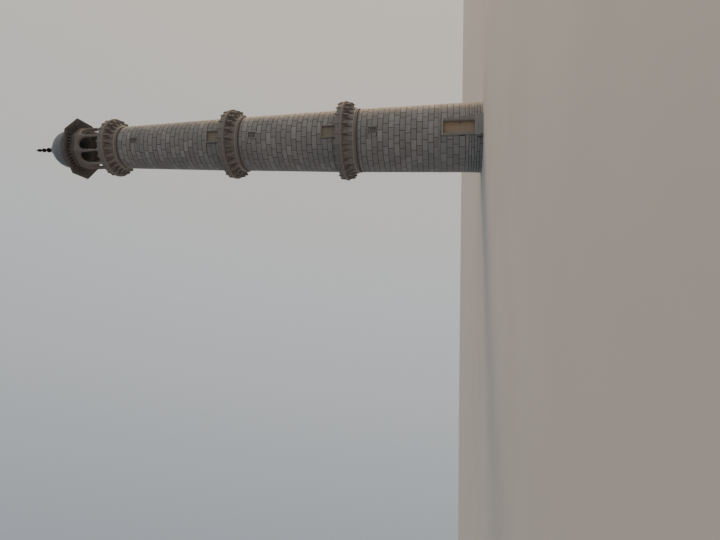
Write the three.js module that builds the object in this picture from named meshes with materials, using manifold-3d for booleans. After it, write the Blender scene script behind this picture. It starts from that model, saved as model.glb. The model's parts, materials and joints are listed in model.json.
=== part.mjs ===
// Minaret: a tapering round tower of coursed stone in three storeys, each ending in a bracketed
// balcony, with a domed eight-sided pavilion on top. A model at half the real size.
// Millimetres, +Z up, the foot's centre at the origin, the door side facing -Y.
import * as THREE from 'three';
import { mergeVertices } from 'three/addons/utils/BufferGeometryUtils.js';
import Module from 'manifold-3d';

const wasm = await Module();
wasm.setup();

// Driving dimensions are the real tower's, in metres, and real() turns them into the model's.
const SCALE = 1 / 2;
const real = (metres) => metres * 1000 * SCALE;

const GAP = 0.3;            // between pieces that touch, in model millimetres
const RUNNING_GAP = 6;      // round the door leaf, in model millimetres
const ROUND_STEPS = 48;     // flats on a full circle
const QUARTER = 90;         // degrees that one wall segment spans

// Foot and ground storey
const PLINTH = { top: real(1.26), bands: 3, radius: real(2.84), setback: real(0.015) };
const FLOOR_TOP = real(0.63);
const BELT = { bottom: real(3.24), top: real(3.42), radius: real(2.8) };
const STEPS = { rise: real(0.21), tread: real(0.3), halfWidth: real(0.85), count: 2 };

// The three storeys: heights of foot and head, outer radius at each, and clear inner radius
const storeyFrom = ([foot, head, footRadius, headRadius, inner]) => (
  { foot: real(foot), head: real(head), footRadius: real(footRadius), headRadius: real(headRadius),
    inner: real(inner) });
const STOREYS = [
  storeyFrom([3.42, 9.9, 2.75, 2.62, 1.95]),
  storeyFrom([11.27, 20.1, 2.6, 2.3, 1.76]),
  storeyFrom([21.37, 31.62, 2.28, 1.87, 1.42]),
];

// Balconies: heights of foot and floor, radii of neck and slab, the parapet's height, how high the
// brackets' tips hang, as a share of their height, and how far round the first bracket stands, as a
// share of a step
const balconyFrom = ([foot, floor, neck, slab, parapet, tip, phase]) => (
  { foot: real(foot), floor: real(floor), neck: real(neck), slab: real(slab),
    parapet: real(parapet), tip, phase });
const BALCONIES = [
  balconyFrom([9.9, 11.07, 2.62, 3.32, 0.38, 0.33, 0.6]),
  balconyFrom([20.1, 21.17, 2.3, 3.0, 0.4, 0.15, 0.65]),
  balconyFrom([31.62, 32.6, 1.87, 2.6, 0.4, 0.25, 0.75]),
];
const SLAB_THICK = real(0.2);
const NECK_RING = { height: real(0.18), proud: real(0.06) };
const CORNICE = { height: real(0.24), proud: real(0.06) };
const BRACKET = { count: 24, width: real(0.2), inset: real(0.1) };
const PARAPET = { thick: real(0.13), inset: real(0.1) };
const POST = { width: real(0.15), proud: real(0.04), rise: real(0.03), cap: real(0.14) };

// Openings in the walls, all on the door's side and, for the windows, at the back as well
const WINDOW = { halfWidth: real(0.23), height: real(0.65) };
const WINDOW_SILLS = [real(8.39), real(18.62), real(29.72)];
const DOORWAY = { halfWidth: real(0.48), top: real(3.04) };
const JAMB = { width: real(0.21), proud: real(0.08), depth: real(0.22) };
const SILL_THICK = real(0.18);
const LINTEL = real(0.17);
const LEAF = { thick: real(0.08), lap: real(0.04) };
const PIVOT = { radius: real(0.03), length: real(0.09) };
const BALCONY_DOOR = { halfWidth: real(0.42), height: real(1.62), jamb: real(0.11) };
const FIXED_LEAF = { setback: real(0.12), thick: real(0.07) };

// Eight-sided pavilion: columns, arches, eave, drum and dome
const PAVILION = { sides: 8, columnRadius: real(1.73), archTop: real(35.7) };
const SIDE = 360 / PAVILION.sides;
const HALF_SIDE = SIDE / 2;
const COLUMN = { base: real(0.17), shaft: real(0.105), capital: real(0.2), baseHeight: real(0.3) };
const ARCADE = { bottom: real(34.6), top: real(36.2), thick: real(0.3) };
const EAVE = { edge: real(36.38), rise: real(0.45), vertex: real(2.79), thick: real(0.11),
  inner: real(1.76) };
const DRUM = { top: real(37.2), radius: real(1.62), clear: real(1.36) };
const BAND = { height: real(0.24), radius: real(1.8) };
const DOME = { radius: real(1.72), shoulder: real(38.35), crown: real(39.4), crownRadius: real(0.37),
  bend: { radius: real(1.0), height: real(38.7) }, thick: real(0.22), flats: 8, steps: 32,
  insideSteps: 16 };
const LOTUS = { radius: real(0.42), neck: real(0.16) };
const FINIAL = { foot: real(39.55), tip: real(41.38) };

const stone = { color: 0x8f857a, roughness: 0.9, metalness: 0 };
const paleStone = { color: 0xa89d8e, roughness: 0.85, metalness: 0 };
const balconyStone = { color: 0x7c6c5c, roughness: 0.9, metalness: 0 };
const domeStone = { color: 0x8c949c, roughness: 0.8, metalness: 0 };
const boards = { color: 0x8a6a42, roughness: 0.8, metalness: 0 };
const metal = { color: 0x1f2024, roughness: 0.45, metalness: 0.6 };

const HALF_FLAT = 360 / ROUND_STEPS / 2;

const minaret = new THREE.Group();

function addPiece(name, solid, finish) {
  const mesh = new THREE.Mesh(geometryOf(solid), new THREE.MeshStandardMaterial(finish));
  mesh.name = name;
  minaret.add(mesh);
}

// Closed three.js geometry to solid, and back
function solidOf(geometry) {
  const bare = geometry.clone();
  bare.deleteAttribute('normal');
  bare.deleteAttribute('uv');
  const merged = mergeVertices(bare, 1e-3);
  const corners = [];
  const index = merged.index.array;
  for (let i = 0; i < index.length; i += 3) {
    const [a, b, c] = [index[i], index[i + 1], index[i + 2]];
    if (a !== b && b !== c && c !== a) corners.push(a, b, c);
  }
  const vertProperties = Float32Array.from(merged.attributes.position.array);
  const triVerts = Uint32Array.from(corners);
  return new wasm.Manifold(new wasm.Mesh({ numProp: 3, vertProperties, triVerts }));
}

function geometryOf(solid) {
  const mesh = solid.getMesh();
  const geometry = new THREE.BufferGeometry();
  geometry.setAttribute('position', new THREE.BufferAttribute(Float32Array.from(mesh.vertProperties), 3));
  geometry.setIndex(new THREE.BufferAttribute(Uint32Array.from(mesh.triVerts), 1));
  geometry.computeVertexNormals();
  return geometry;
}

const union = (solids) => solids.reduce((joined, solid) => joined.add(solid));

// A body turned about the tower's axis. The profile is a list of [radius, height] that goes up on its
// outer side; azimuth 0 is the door side, and azimuths grow towards +X.
function turned(profile, { steps = ROUND_STEPS, start = 0 } = {}) {
  const onAxis = profile[0][0] === 0;
  const closed = onAxis ? profile : [...profile, profile[0]];
  const points = closed.map(([radius, height]) => new THREE.Vector2(radius, height));
  const lathe = new THREE.LatheGeometry(points, steps, THREE.MathUtils.degToRad(start));
  return solidOf(lathe.rotateX(Math.PI / 2));
}

// An upright prism over an outline in plan
function prism(outline, bottom, top) {
  const shape = new THREE.Shape(outline.map(([x, y]) => new THREE.Vector2(x, y)));
  const body = new THREE.ExtrudeGeometry(shape, { depth: top - bottom, bevelEnabled: false });
  return solidOf(body.translate(0, 0, bottom));
}

// A prism across the view, over an outline of [x, height] pairs, from y = front to y = back
function crossPrism(outline, front, back) {
  const shape = new THREE.Shape(outline.map(([x, height]) => new THREE.Vector2(x, height)));
  const body = new THREE.ExtrudeGeometry(shape, { depth: back - front, bevelEnabled: false });
  return solidOf(body.rotateX(Math.PI / 2).translate(0, back, 0));
}

function block(x0, x1, y0, y1, z0, z1) {
  const box = new THREE.BoxGeometry(x1 - x0, y1 - y0, z1 - z0);
  return solidOf(box.translate((x0 + x1) / 2, (y0 + y1) / 2, (z0 + z1) / 2));
}

const turnedTo = (solid, degrees) => solid.rotate([0, 0, degrees]);

function plan(radius, degrees) {
  const angle = THREE.MathUtils.degToRad(degrees);
  return [radius * Math.sin(angle), -radius * Math.cos(angle)];
}

// A wedge in plan between two azimuths less than half a turn apart, kept half a gap inside them
function wedge(from, to, bottom, top) {
  const reach = real(4.5);
  const middle = (from + to) / 2;
  const spread = THREE.MathUtils.degToRad((to - from) / 2);
  const tip = plan(GAP / 2 / Math.sin(spread), middle);
  const rim = [from, (from + middle) / 2, middle, (to + middle) / 2, to].map((azimuth) => {
    const [x, y] = plan(reach, azimuth);
    return [x + tip[0], y + tip[1]];
  });
  return prism([tip, ...rim], bottom, top);
}

// Wall between two heights, tapering outside and upright inside. Its flats meet off the segments' ends.
function wallRing(foot, head, footRadius, headRadius, inner) {
  const profile = [[inner, foot], [footRadius, foot], [headRadius, head], [inner, head]];
  return turned(profile, { start: HALF_FLAT });
}

function windowCut(storey, sill) {
  const reach = storey.footRadius + real(0.1);
  return block(-WINDOW.halfWidth, WINDOW.halfWidth, -reach, -storey.inner / 2, sill, sill + WINDOW.height);
}

// Foot: stepped plinth and plain wall up to the belt, in three segments beside the doorway
const frameHalf = DOORWAY.halfWidth + JAMB.width;
const frameTop = DOORWAY.top + LINTEL;
const sillBottom = FLOOR_TOP - SILL_THICK;
const innerRound = (bottom, top) => turned(
  [[0, bottom], [STOREYS[0].inner, bottom], [STOREYS[0].inner, top], [0, top]], { start: HALF_FLAT });

function footProfile() {
  const { inner, footRadius } = STOREYS[0];
  const band = PLINTH.top / PLINTH.bands;
  const points = [[inner, 0]];
  for (let i = 0; i < PLINTH.bands; i += 1) {
    const radius = PLINTH.radius - PLINTH.setback * i;
    points.push([radius, i * band], [radius, (i + 1) * band]);
  }
  points.push([footRadius + real(0.045), PLINTH.top], [footRadius + real(0.01), BELT.bottom - GAP]);
  points.push([inner, BELT.bottom - GAP]);
  return points;
}

function addFoot() {
  const ring = turned(footProfile(), { start: HALF_FLAT });
  const doorway = block(-frameHalf - GAP, frameHalf + GAP, -real(3.2), 0, -GAP, BELT.bottom);
  const wall = ring.subtract(doorway);
  const side = 125;
  addPiece('foot_wall_right', wall.intersect(wedge(0, side, -GAP, BELT.top)), stone);
  addPiece('foot_wall_back', wall.intersect(wedge(side, 360 - side, -GAP, BELT.top)), stone);
  addPiece('foot_wall_left', wall.intersect(wedge(-side, 0, -GAP, BELT.top)), stone);
  const { inner } = STOREYS[0];
  const floor = [[0, 0], [inner - GAP, 0], [inner - GAP, FLOOR_TOP], [0, FLOOR_TOP]];
  addPiece('ground_floor', turned(floor, { start: HALF_FLAT }), stone);
  const belt = [[inner, BELT.bottom], [BELT.radius - real(0.03), BELT.bottom],
    [BELT.radius, BELT.bottom + real(0.05)], [BELT.radius, BELT.top - GAP], [inner, BELT.top - GAP]];
  addPiece('belt_course', turned(belt), paleStone);
}

// Steps up to the sill, on the masonry under the doorway
function addDoorstep() {
  const face = -PLINTH.radius;
  const half = frameHalf - GAP;
  const core = block(-half, half, face - real(0.1), -real(1.7), 0, sillBottom - GAP);
  const treads = [];
  for (let i = 0; i < STEPS.count; i += 1) {
    const run = (STEPS.count - i) * STEPS.tread;
    treads.push(block(-STEPS.halfWidth, STEPS.halfWidth, face - run, -real(2.5), 0, (i + 1) * STEPS.rise));
  }
  const round = PLINTH.radius + GAP;
  const roundProfile = [[0, -1], [round, -1], [round, FLOOR_TOP], [0, FLOOR_TOP]];
  const plinthRound = turned(roundProfile, { start: HALF_FLAT });
  const steps = union(treads).subtract(plinthRound);
  const solid = core.add(steps).subtract(innerRound(-1, FLOOR_TOP));
  addPiece('doorstep', solid, paleStone);
}

// Ground doorway: stone surround with pivot sockets, and the boarded leaf behind its jambs
const leafFront = -STOREYS[0].footRadius + JAMB.depth + RUNNING_GAP;
const leafAxis = { x: -DOORWAY.halfWidth - LEAF.lap + LEAF.thick / 2, y: leafFront + LEAF.thick / 2 };

function pin(radius, bottom, top) {
  const cylinder = new THREE.CylinderGeometry(radius, radius, top - bottom, 16);
  return solidOf(cylinder.rotateX(Math.PI / 2).translate(leafAxis.x, leafAxis.y, (bottom + top) / 2));
}

function addGroundDoor() {
  const front = -STOREYS[0].footRadius - JAMB.proud;
  const jambBack = leafFront - RUNNING_GAP;
  const deep = leafFront + LEAF.thick + real(0.12);
  const half = frameHalf;
  const parts = [
    block(-half, -DOORWAY.halfWidth, front, jambBack, sillBottom, frameTop),
    block(DOORWAY.halfWidth, half, front, jambBack, sillBottom, frameTop),
    block(-half, half, front, deep, DOORWAY.top, frameTop),
    block(-half, half, front, -real(1.7), sillBottom, FLOOR_TOP).subtract(innerRound(0, FLOOR_TOP + GAP)),
  ];
  const sockets = pin(PIVOT.radius + GAP, FLOOR_TOP - PIVOT.length - GAP, FLOOR_TOP + RUNNING_GAP)
    .add(pin(PIVOT.radius + GAP, DOORWAY.top - RUNNING_GAP, DOORWAY.top + PIVOT.length + GAP));
  addPiece('door_surround', union(parts).subtract(sockets), paleStone);

  const bottom = FLOOR_TOP + RUNNING_GAP;
  const top = DOORWAY.top - RUNNING_GAP;
  const right = DOORWAY.halfWidth + LEAF.lap;
  const leaf = block(leafAxis.x, right, leafFront, leafFront + LEAF.thick, bottom, top)
    .add(pin(LEAF.thick / 2, bottom, top))
    .add(pin(PIVOT.radius, FLOOR_TOP - PIVOT.length, DOORWAY.top + PIVOT.length));
  addPiece('ground_door_leaf', leaf, boards);
}

// A storey's wall in four segments, with a window near its head at front and back
function addStorey(number) {
  const storey = STOREYS[number - 1];
  const head = storey.head - GAP;
  let ring = wallRing(storey.foot, head, storey.footRadius, storey.headRadius, storey.inner);
  const cut = windowCut(storey, WINDOW_SILLS[number - 1]);
  ring = ring.subtract(cut).subtract(turnedTo(cut, 180));
  if (number > 1) {
    const half = BALCONY_DOOR.halfWidth + BALCONY_DOOR.jamb + GAP;
    const top = storey.foot + BALCONY_DOOR.height + BALCONY_DOOR.jamb + GAP;
    ring = ring.subtract(block(-half, half, -storey.footRadius - real(0.1), 0, storey.foot - GAP, top));
  }
  ['front', 'right', 'back', 'left'].forEach((side, i) => {
    const middle = i * QUARTER;
    const quarter = wedge(middle - QUARTER / 2, middle + QUARTER / 2, storey.foot - GAP, storey.head);
    addPiece(`storey_${number}_wall_${side}`, ring.intersect(quarter), stone);
  });
}

// Fixed boarded door onto a balcony, in its stone frame
function addBalconyDoor(number) {
  const storey = STOREYS[number];
  const half = BALCONY_DOOR.halfWidth;
  const outer = half + BALCONY_DOOR.jamb;
  const front = -storey.footRadius - real(0.03);
  const back = -storey.inner - real(0.1);
  const head = storey.foot + BALCONY_DOOR.height;
  const frame = block(-outer, outer, front, back, storey.foot, head + BALCONY_DOOR.jamb)
    .subtract(block(-half, half, front - 1, back + 1, storey.foot - 1, head));
  addPiece(`balcony_${number}_door_frame`, frame, paleStone);
  const leafY = front + FIXED_LEAF.setback;
  const leafBack = leafY + FIXED_LEAF.thick;
  const leaf = block(-half + GAP, half - GAP, leafY, leafBack, storey.foot, head - GAP);
  addPiece(`balcony_${number}_door`, leaf, boards);
}

// One bracket: a scrolled arm from the neck out to the slab's edge, with a tip that hangs near the edge,
// drawn in the plane through the axis
function bracketArm({ foot, floor, neck, slab, tip }) {
  const start = foot + NECK_RING.height + CORNICE.height;
  const top = floor - GAP;
  const reach = slab - BRACKET.inset;
  const at = (run, rise) => [neck + (reach - neck) * run, start + (top - start) * rise];
  const outline = [at(-0.16, 0), at(0.18, 0.04), at(0.46, tip + 0.14), at(0.78, tip),
    at(0.92, tip + 0.02), at(0.98, 0.7), at(1, 1), at(-0.16, 1)];
  return crossPrism(outline, -BRACKET.width / 2, BRACKET.width / 2);
}

// Copies of a solid at even steps round the axis, the first one turned by a share of a step
function around(solid, count, phase) {
  return Array.from({ length: count }, (_, i) => turnedTo(solid, (360 / count) * (i + phase)));
}

function addBalcony(number) {
  const balcony = BALCONIES[number - 1];
  const { foot, floor, neck, slab } = balcony;
  const ringTop = foot + NECK_RING.height;
  const corniceTop = ringTop + CORNICE.height;
  const { inner } = STOREYS[number - 1];
  const profile = [
    [inner, foot], [neck, foot], [neck + NECK_RING.proud, foot + NECK_RING.height * 0.3],
    [neck + NECK_RING.proud, ringTop - NECK_RING.height * 0.3], [neck + real(0.02), ringTop],
    [neck + CORNICE.proud, corniceTop], [neck, corniceTop], [neck, floor - GAP], [inner, floor - GAP],
  ];
  const arms = around(bracketArm(balcony), BRACKET.count, balcony.phase);
  addPiece(`balcony_${number}_brackets`, turned(profile).add(union(arms)), balconyStone);

  const top = floor + SLAB_THICK - GAP;
  const edge = [[slab - real(0.07), floor], [slab, floor + SLAB_THICK * 0.45], [slab, top]];
  addPiece(`balcony_${number}_floor`, turned([[0, floor], ...edge, [0, top]]), balconyStone);
}

// Parapet: a ring of panels between posts with pointed caps
function addParapet(number) {
  const { floor, slab, parapet, phase } = BALCONIES[number - 1];
  const bottom = floor + SLAB_THICK;
  const top = bottom + parapet;
  const outer = slab - PARAPET.inset;
  const inner = outer - PARAPET.thick;
  const panel = turned([[inner, bottom], [outer, bottom], [outer, top], [inner, top]]);
  const middle = (outer + inner) / 2;
  const half = PARAPET.thick / 2 + POST.proud;
  const shoulder = top + POST.rise;
  const outline = [[middle - half, bottom], [middle + half, bottom], [middle + half, shoulder],
    [middle, shoulder + POST.cap], [middle - half, shoulder]];
  const post = crossPrism(outline, -POST.width / 2, POST.width / 2);
  const posts = union(around(post, BRACKET.count, phase));
  addPiece(`balcony_${number}_parapet`, panel.add(posts), balconyStone);
}

// Pavilion: eight columns, the arcade they carry, the eave, drum, dome and finial
function addPavilion() {
  const foot = BALCONIES[2].floor + SLAB_THICK;
  const { base, shaft, capital, baseHeight } = COLUMN;
  const top = ARCADE.bottom - GAP;
  const profile = [[0, foot], [base, foot], [base, foot + baseHeight], [shaft, foot + baseHeight * 1.35],
    [shaft * 0.95, top - real(0.4)], [capital, top], [0, top]];
  for (let i = 0; i < PAVILION.sides; i += 1) {
    const points = profile.map(([r, h]) => new THREE.Vector2(r, h));
    const [x, y] = plan(PAVILION.columnRadius, SIDE * (i + 0.5));
    const body = new THREE.LatheGeometry(points, 8).rotateX(Math.PI / 2).translate(x, y, 0);
    addPiece(`pavilion_column_${i + 1}`, solidOf(body), domeStone);
  }
  addArcade();
  addEave();
  addDome();
}

const octagon = (vertexRadius) => Array.from(
  { length: PAVILION.sides }, (_, i) => plan(vertexRadius, SIDE * i + HALF_SIDE));

function addArcade() {
  const { bottom, top, thick } = ARCADE;
  const outer = PAVILION.columnRadius + thick / 2;
  const inner = PAVILION.columnRadius - thick / 2;
  const ring = prism(octagon(outer), bottom, top).subtract(prism(octagon(inner), bottom - 1, top + 1));
  const half = PAVILION.columnRadius * Math.sin(THREE.MathUtils.degToRad(HALF_SIDE)) - COLUMN.shaft * 1.1;
  const rise = PAVILION.archTop - bottom;
  const side = [[half, bottom - 1], [half, bottom + rise * 0.3], [half * 0.88, bottom + rise * 0.62],
    [half * 0.54, bottom + rise * 0.88]];
  const mirrored = side.map(([x, height]) => [-x, height]).reverse();
  const arch = [...side, [0, bottom + rise], ...mirrored];
  const cut = crossPrism(arch, -real(2.4), -real(1));
  addPiece('pavilion_arcade', ring.subtract(union(around(cut, PAVILION.sides, 0))), domeStone);
}

function addEave() {
  const { edge, rise, vertex, thick, inner } = EAVE;
  const foot = ARCADE.top + GAP;
  const outside = PAVILION.columnRadius + ARCADE.thick / 2;
  const section = [[inner, foot], [outside, foot], [outside, edge + rise * 0.45],
    [vertex - real(0.02), edge - thick * 0.4], [vertex, edge + thick * 0.6], [inner, edge + rise + thick]];
  addPiece('pavilion_eave', turned(section, { steps: 8, start: HALF_SIDE }), balconyStone);
}

// Points of the dome's curve from its springing to its crown, some way inside its outer face
function domeCurve(inset) {
  const { radius, shoulder, bend, crown, crownRadius, flats } = DOME;
  const springing = DRUM.top + BAND.height;
  const points = [[radius - inset, springing], [radius - inset, shoulder - inset * 0.6],
    [bend.radius - inset, bend.height - inset], [crownRadius - inset / 2, crown - inset * 1.6]];
  const curve = new THREE.CubicBezierCurve(...points.map(([r, h]) => new THREE.Vector2(r, h)));
  return curve.getPoints(flats).map(({ x, y }) => [x, y]);
}

// Drum, moulded band, dome and lotus crown over one open hollow
function addDome() {
  const foot = ARCADE.top + GAP;
  const outer = domeCurve(0);
  const crownTop = FINIAL.foot - GAP;
  const outside = [[0, foot], [DRUM.radius, foot], [DRUM.radius, DRUM.top], [BAND.radius, DRUM.top],
    [BAND.radius, DRUM.top + BAND.height], ...outer, [LOTUS.radius, DOME.crown + real(0.03)],
    [LOTUS.neck, crownTop], [0, crownTop]];
  const clear = domeCurve(DOME.thick);
  const inside = [[0, foot - 1], [DRUM.clear, foot - 1], [DRUM.clear, DRUM.top], ...clear,
    [0, clear[clear.length - 1][1]]];
  const shell = turned(outside, { steps: DOME.steps });
  addPiece('dome', shell.subtract(turned(inside, { steps: DOME.insideSteps })), domeStone);
  addPiece('finial', finialSolid(), metal);
}

// Stacked knobs that end in a spike, as pairs of radius and height over the finial's foot
function finialSolid() {
  const knobs = [[0, 0], [0.13, 0], [0.1, 0.12], [0.2, 0.27], [0.2, 0.45], [0.06, 0.62], [0.17, 0.8],
    [0.17, 0.95], [0.05, 1.08], [0.12, 1.24], [0.1, 1.4], [0.04, 1.6]];
  const profile = knobs.map(([radius, height]) => [real(radius), FINIAL.foot + real(height)]);
  return turned([...profile, [0, FINIAL.tip]], { steps: 12 });
}

addFoot();
addDoorstep();
addGroundDoor();
for (const number of [1, 2, 3]) {
  addStorey(number);
  addBalcony(number);
  addParapet(number);
}
addBalconyDoor(1);
addBalconyDoor(2);
addPavilion();

export default minaret;
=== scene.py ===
"""Stone minaret at half size: coursed marble blocks, bracketed balconies, boarded doors and a pavilion
with a dome.

Lengths are metres of the model. real() turns a length of the full-size tower into the model's.
Azimuth 0 is the door side (-Y) and azimuths grow towards +X.
"""
import json
import math
import random

import bmesh
import bpy
from bpy.props import FloatProperty, FloatVectorProperty, IntProperty, PointerProperty
from mathutils import Matrix, Vector


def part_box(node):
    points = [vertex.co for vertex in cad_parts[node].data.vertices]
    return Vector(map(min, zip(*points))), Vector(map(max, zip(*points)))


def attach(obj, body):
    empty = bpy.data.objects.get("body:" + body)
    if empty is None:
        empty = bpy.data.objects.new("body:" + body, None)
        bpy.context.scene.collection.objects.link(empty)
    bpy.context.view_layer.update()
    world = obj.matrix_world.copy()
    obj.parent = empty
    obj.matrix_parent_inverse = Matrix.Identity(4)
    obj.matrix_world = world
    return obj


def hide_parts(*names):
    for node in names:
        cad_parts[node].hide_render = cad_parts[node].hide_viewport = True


bl_info = {
    "name": "Stone Minaret",
    "version": (1, 0, 0),
    "blender": (4, 5, 0),
    "location": "3D View > Sidebar > Minaret",
    "description": "Builds the visible stonework, doors, pavilion and dome of a half-size minaret",
    "category": "Object",
}

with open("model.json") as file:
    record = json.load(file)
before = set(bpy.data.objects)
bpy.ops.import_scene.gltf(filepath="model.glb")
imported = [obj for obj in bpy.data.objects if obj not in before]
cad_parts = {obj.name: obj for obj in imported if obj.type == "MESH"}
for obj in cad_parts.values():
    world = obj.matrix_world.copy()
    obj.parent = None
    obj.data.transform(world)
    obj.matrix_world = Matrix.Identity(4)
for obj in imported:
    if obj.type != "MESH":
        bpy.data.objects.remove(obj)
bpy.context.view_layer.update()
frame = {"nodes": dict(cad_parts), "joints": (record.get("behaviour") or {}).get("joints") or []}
NODES = frame["nodes"]

SCALE = 0.5
TURN = math.tau
ROUND_STEPS = 96
STOREY_COUNT = 3
SEED = 7


def real(metres):
    """Model metres for a length of the full-size tower."""
    return metres * SCALE


def linear(hex_colour):
    """sRGB hex to the linear colour that Blender's sockets take."""
    shares = [int(hex_colour[i:i + 2], 16) / 255 for i in (1, 3, 5)]
    return [s / 12.92 if s <= 0.04045 else ((s + 0.055) / 1.055) ** 2.4 for s in shares] + [1.0]


def length(name, description, default):
    """A size that a user may change."""
    return FloatProperty(
        name=name, description=description, default=default, min=0.0, precision=4,
        subtype="DISTANCE", unit="LENGTH")


def angle(name, description, degrees):
    """An angle that a user may change."""
    return FloatProperty(
        name=name, description=description, default=math.radians(degrees), subtype="ANGLE",
        unit="ROTATION")


def colour(name, description, hex_colour):
    """A colour that a user may change."""
    return FloatVectorProperty(
        name=name, description=description, default=linear(hex_colour), size=4, min=0.0, max=1.0,
        subtype="COLOR")


# Sizes and colours

class MinaretMasonry(bpy.types.PropertyGroup):
    """Coursed blocks of the shaft and the foot"""
    block: length("Block length", "Usual length of a block along the face", real(0.86))
    plinth_block: length("Plinth block length", "Usual length of a plinth stone", real(1.3))
    joint: length("Joint", "Width of the dark joint between blocks", real(0.034))
    proud: length("Face", "How far a block's face stands out from the joint's bed", 0.005)
    sunk: length("Bed", "How deep a block sits in the wall behind the joint's bed", 0.012)
    chamfer: length("Chamfer", "Worn edge of a block", 0.003)


class MinaretBalcony(bpy.types.PropertyGroup):
    """Bracket rings, slabs and parapets"""
    brackets: IntProperty(name="Brackets", description="Brackets and posts in a ring", default=24, min=8)
    bracket_root: length("Bracket root", "Thickness of a bracket at the shaft", real(0.38))
    bracket_tip: length("Bracket tip", "Thickness of a bracket at its end", real(0.15))
    carving: length("Carving depth", "Depth of the sunk panels in the carved stone", real(0.018))
    post_width: length("Post width", "Width of a parapet post", real(0.13))
    rail: length("Rail height", "Height of the parapet's base and coping", real(0.075))
    fillet: length("Panel fillet", "Width of the raised border inside a parapet panel", real(0.025))


class MinaretDoors(bpy.types.PropertyGroup):
    """Boarded doors, stone frames and windows"""
    board: length("Board width", "Width of an upright board", real(0.16))
    groove: length("Groove", "Gap between two boards", real(0.012))
    stud: length("Stud", "Radius of an iron stud", real(0.016))
    window_frame: length("Window frame", "Width of a window's stone edging", real(0.06))
    window_bar: length("Window bar", "Width of a bar of the window's stone grille", real(0.045))


class MinaretPavilion(bpy.types.PropertyGroup):
    """Open pavilion, eave, dome and finial"""
    eave_brackets: IntProperty(
        name="Eave brackets", description="Brackets under each side of the eave", default=5, min=1)
    eave_bracket_width: length("Eave bracket width", "Thickness of an eave bracket", real(0.08))
    arch_band: length("Arch band", "Width of the raised band round an arch", real(0.07))
    petals: IntProperty(
        name="Petals", description="Petals in the band at the dome's foot", default=48, min=8)
    lotus_petals: IntProperty(
        name="Lotus petals", description="Petals of the crown over the dome", default=16, min=6)


class MinaretColours(bpy.types.PropertyGroup):
    """Base colours of the finishes"""
    marble: colour("Block marble", "Weathered grey marble of the shaft", "#968f87")
    marble_warm: colour("Warm blocks", "Blocks with a warmer, pinker cast", "#978478")
    marble_cool: colour("Cool blocks", "Blocks with a bluish cast", "#828a94")
    joint: colour("Joint stone", "Black marble strips between the blocks", "#37322f")
    pale: colour("Dressed marble", "Smoother pale marble of frames, belts and steps", "#a9a094")
    carved: colour("Carved stone", "Browner weathered stone of the balconies", "#857a6e")
    dome: colour("Dome marble", "Bluish-grey weathered marble of the pavilion and dome", "#6d7276")
    # dark stone under the eave: soot, and also painted shade, for it is laid where shade falls
    eave: colour("Eave stone", "Dark stained stone under the eave", "#332926")
    boards: colour("Ground door boards", "Tan-brown timber", "#d8bb98")
    old_boards: colour("Balcony door boards", "Timber that has gone brownish grey", "#aa9e89")
    iron: colour("Door iron", "Forged iron of studs and rings", "#2b2725")
    finial: colour("Finial bronze", "Blackened bronze", "#1d1c1f")
    floor: colour("Studio floor", "Plain pale floor", "#cfc9c1")


class MinaretStage(bpy.types.PropertyGroup):
    """Floor, light and camera"""
    camera_distance: length("Camera distance", "Level distance from the tower's axis", real(48.3))
    camera_height: length("Camera height", "Height of the lens over the ground", real(1.87))
    camera_azimuth: angle("Camera azimuth", "Where the camera stands round the tower", -19.0)
    axis_offset: angle("Axis offset", "How far right of the camera's heading the tower stands", 13.165)
    pitch: angle("Pitch", "Upward tilt of the camera", 9.83)
    roll: angle("Roll", "Small lean of the camera, before its quarter turn", 0.6)
    lens: FloatProperty(name="Lens", description="Focal length in mm on a 36 mm sensor", default=28.0)
    floor_radius: length("Floor radius", "Radius of the plain floor", 140.0)
    glow_azimuth: angle("Glow azimuth", "Side from which the soft surrounding light is brightest", 112.0)
    key_azimuth: angle("Key azimuth", "Where the warm key light stands round the tower", 125.0)
    key_elevation: angle("Key elevation", "Height of the warm key light over the horizon", 12.0)


PROPERTY_GROUPS = {
    "minaret_masonry": MinaretMasonry,
    "minaret_balcony": MinaretBalcony,
    "minaret_doors": MinaretDoors,
    "minaret_pavilion": MinaretPavilion,
    "minaret_colours": MinaretColours,
    "minaret_stage": MinaretStage,
}


# Mesh helpers

# Widths of worn edges, in metres of the model
FINE_EDGE, WORN_EDGE, HEAVY_EDGE = 0.002, 0.003, 0.004


def fresh():
    """An empty bmesh with the layer that holds each stone's tone; its alpha marks worn edges."""
    bm = bmesh.new()
    bm.loops.layers.float_color.new("tone")
    return bm


def tint(bm, faces, rng, lightness=None):
    """Give these faces one tone: lightness, warmth and an offset for the stone's pattern."""
    layer = bm.loops.layers.float_color["tone"]
    tone = (rng.random() if lightness is None else lightness, rng.random(), rng.random())
    for face in faces:
        for loop in face.loops:
            loop[layer] = (*tone, loop[layer][3])


def soften(bm, edges, offset, segments=1):
    """Bevel edges and mark the new faces as worn."""
    made = bmesh.ops.bevel(
        bm, geom=edges, offset=offset, offset_type="OFFSET", affect="EDGES", segments=segments,
        profile=0.5, clamp_overlap=True, material=-1)
    layer = bm.loops.layers.float_color["tone"]
    for face in made["faces"]:
        for loop in face.loops:
            loop[layer] = (*tuple(loop[layer])[:3], 1.0)


def sharp_edges(bm, degrees=30.0):
    """Edges whose two faces meet at more than this angle."""
    bm.normal_update()
    limit = math.radians(degrees)
    return [e for e in bm.edges if len(e.link_faces) == 2 and e.calc_face_angle() > limit]


def add_cube(bm, low, high):
    """Add a plain block between two corners, and hand back its corners."""
    size = Matrix.Diagonal((*(high - low), 1.0))
    place = Matrix.Translation((low + high) / 2)
    return bmesh.ops.create_cube(bm, size=1.0, matrix=place @ size)["verts"]


def cuboid(low, high, bevel=0.0, segments=1):
    """A block between two corners, with softened edges."""
    bm = fresh()
    add_cube(bm, Vector(low), Vector(high))
    if bevel:
        soften(bm, bm.edges[:], bevel, segments)
    return bm


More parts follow.
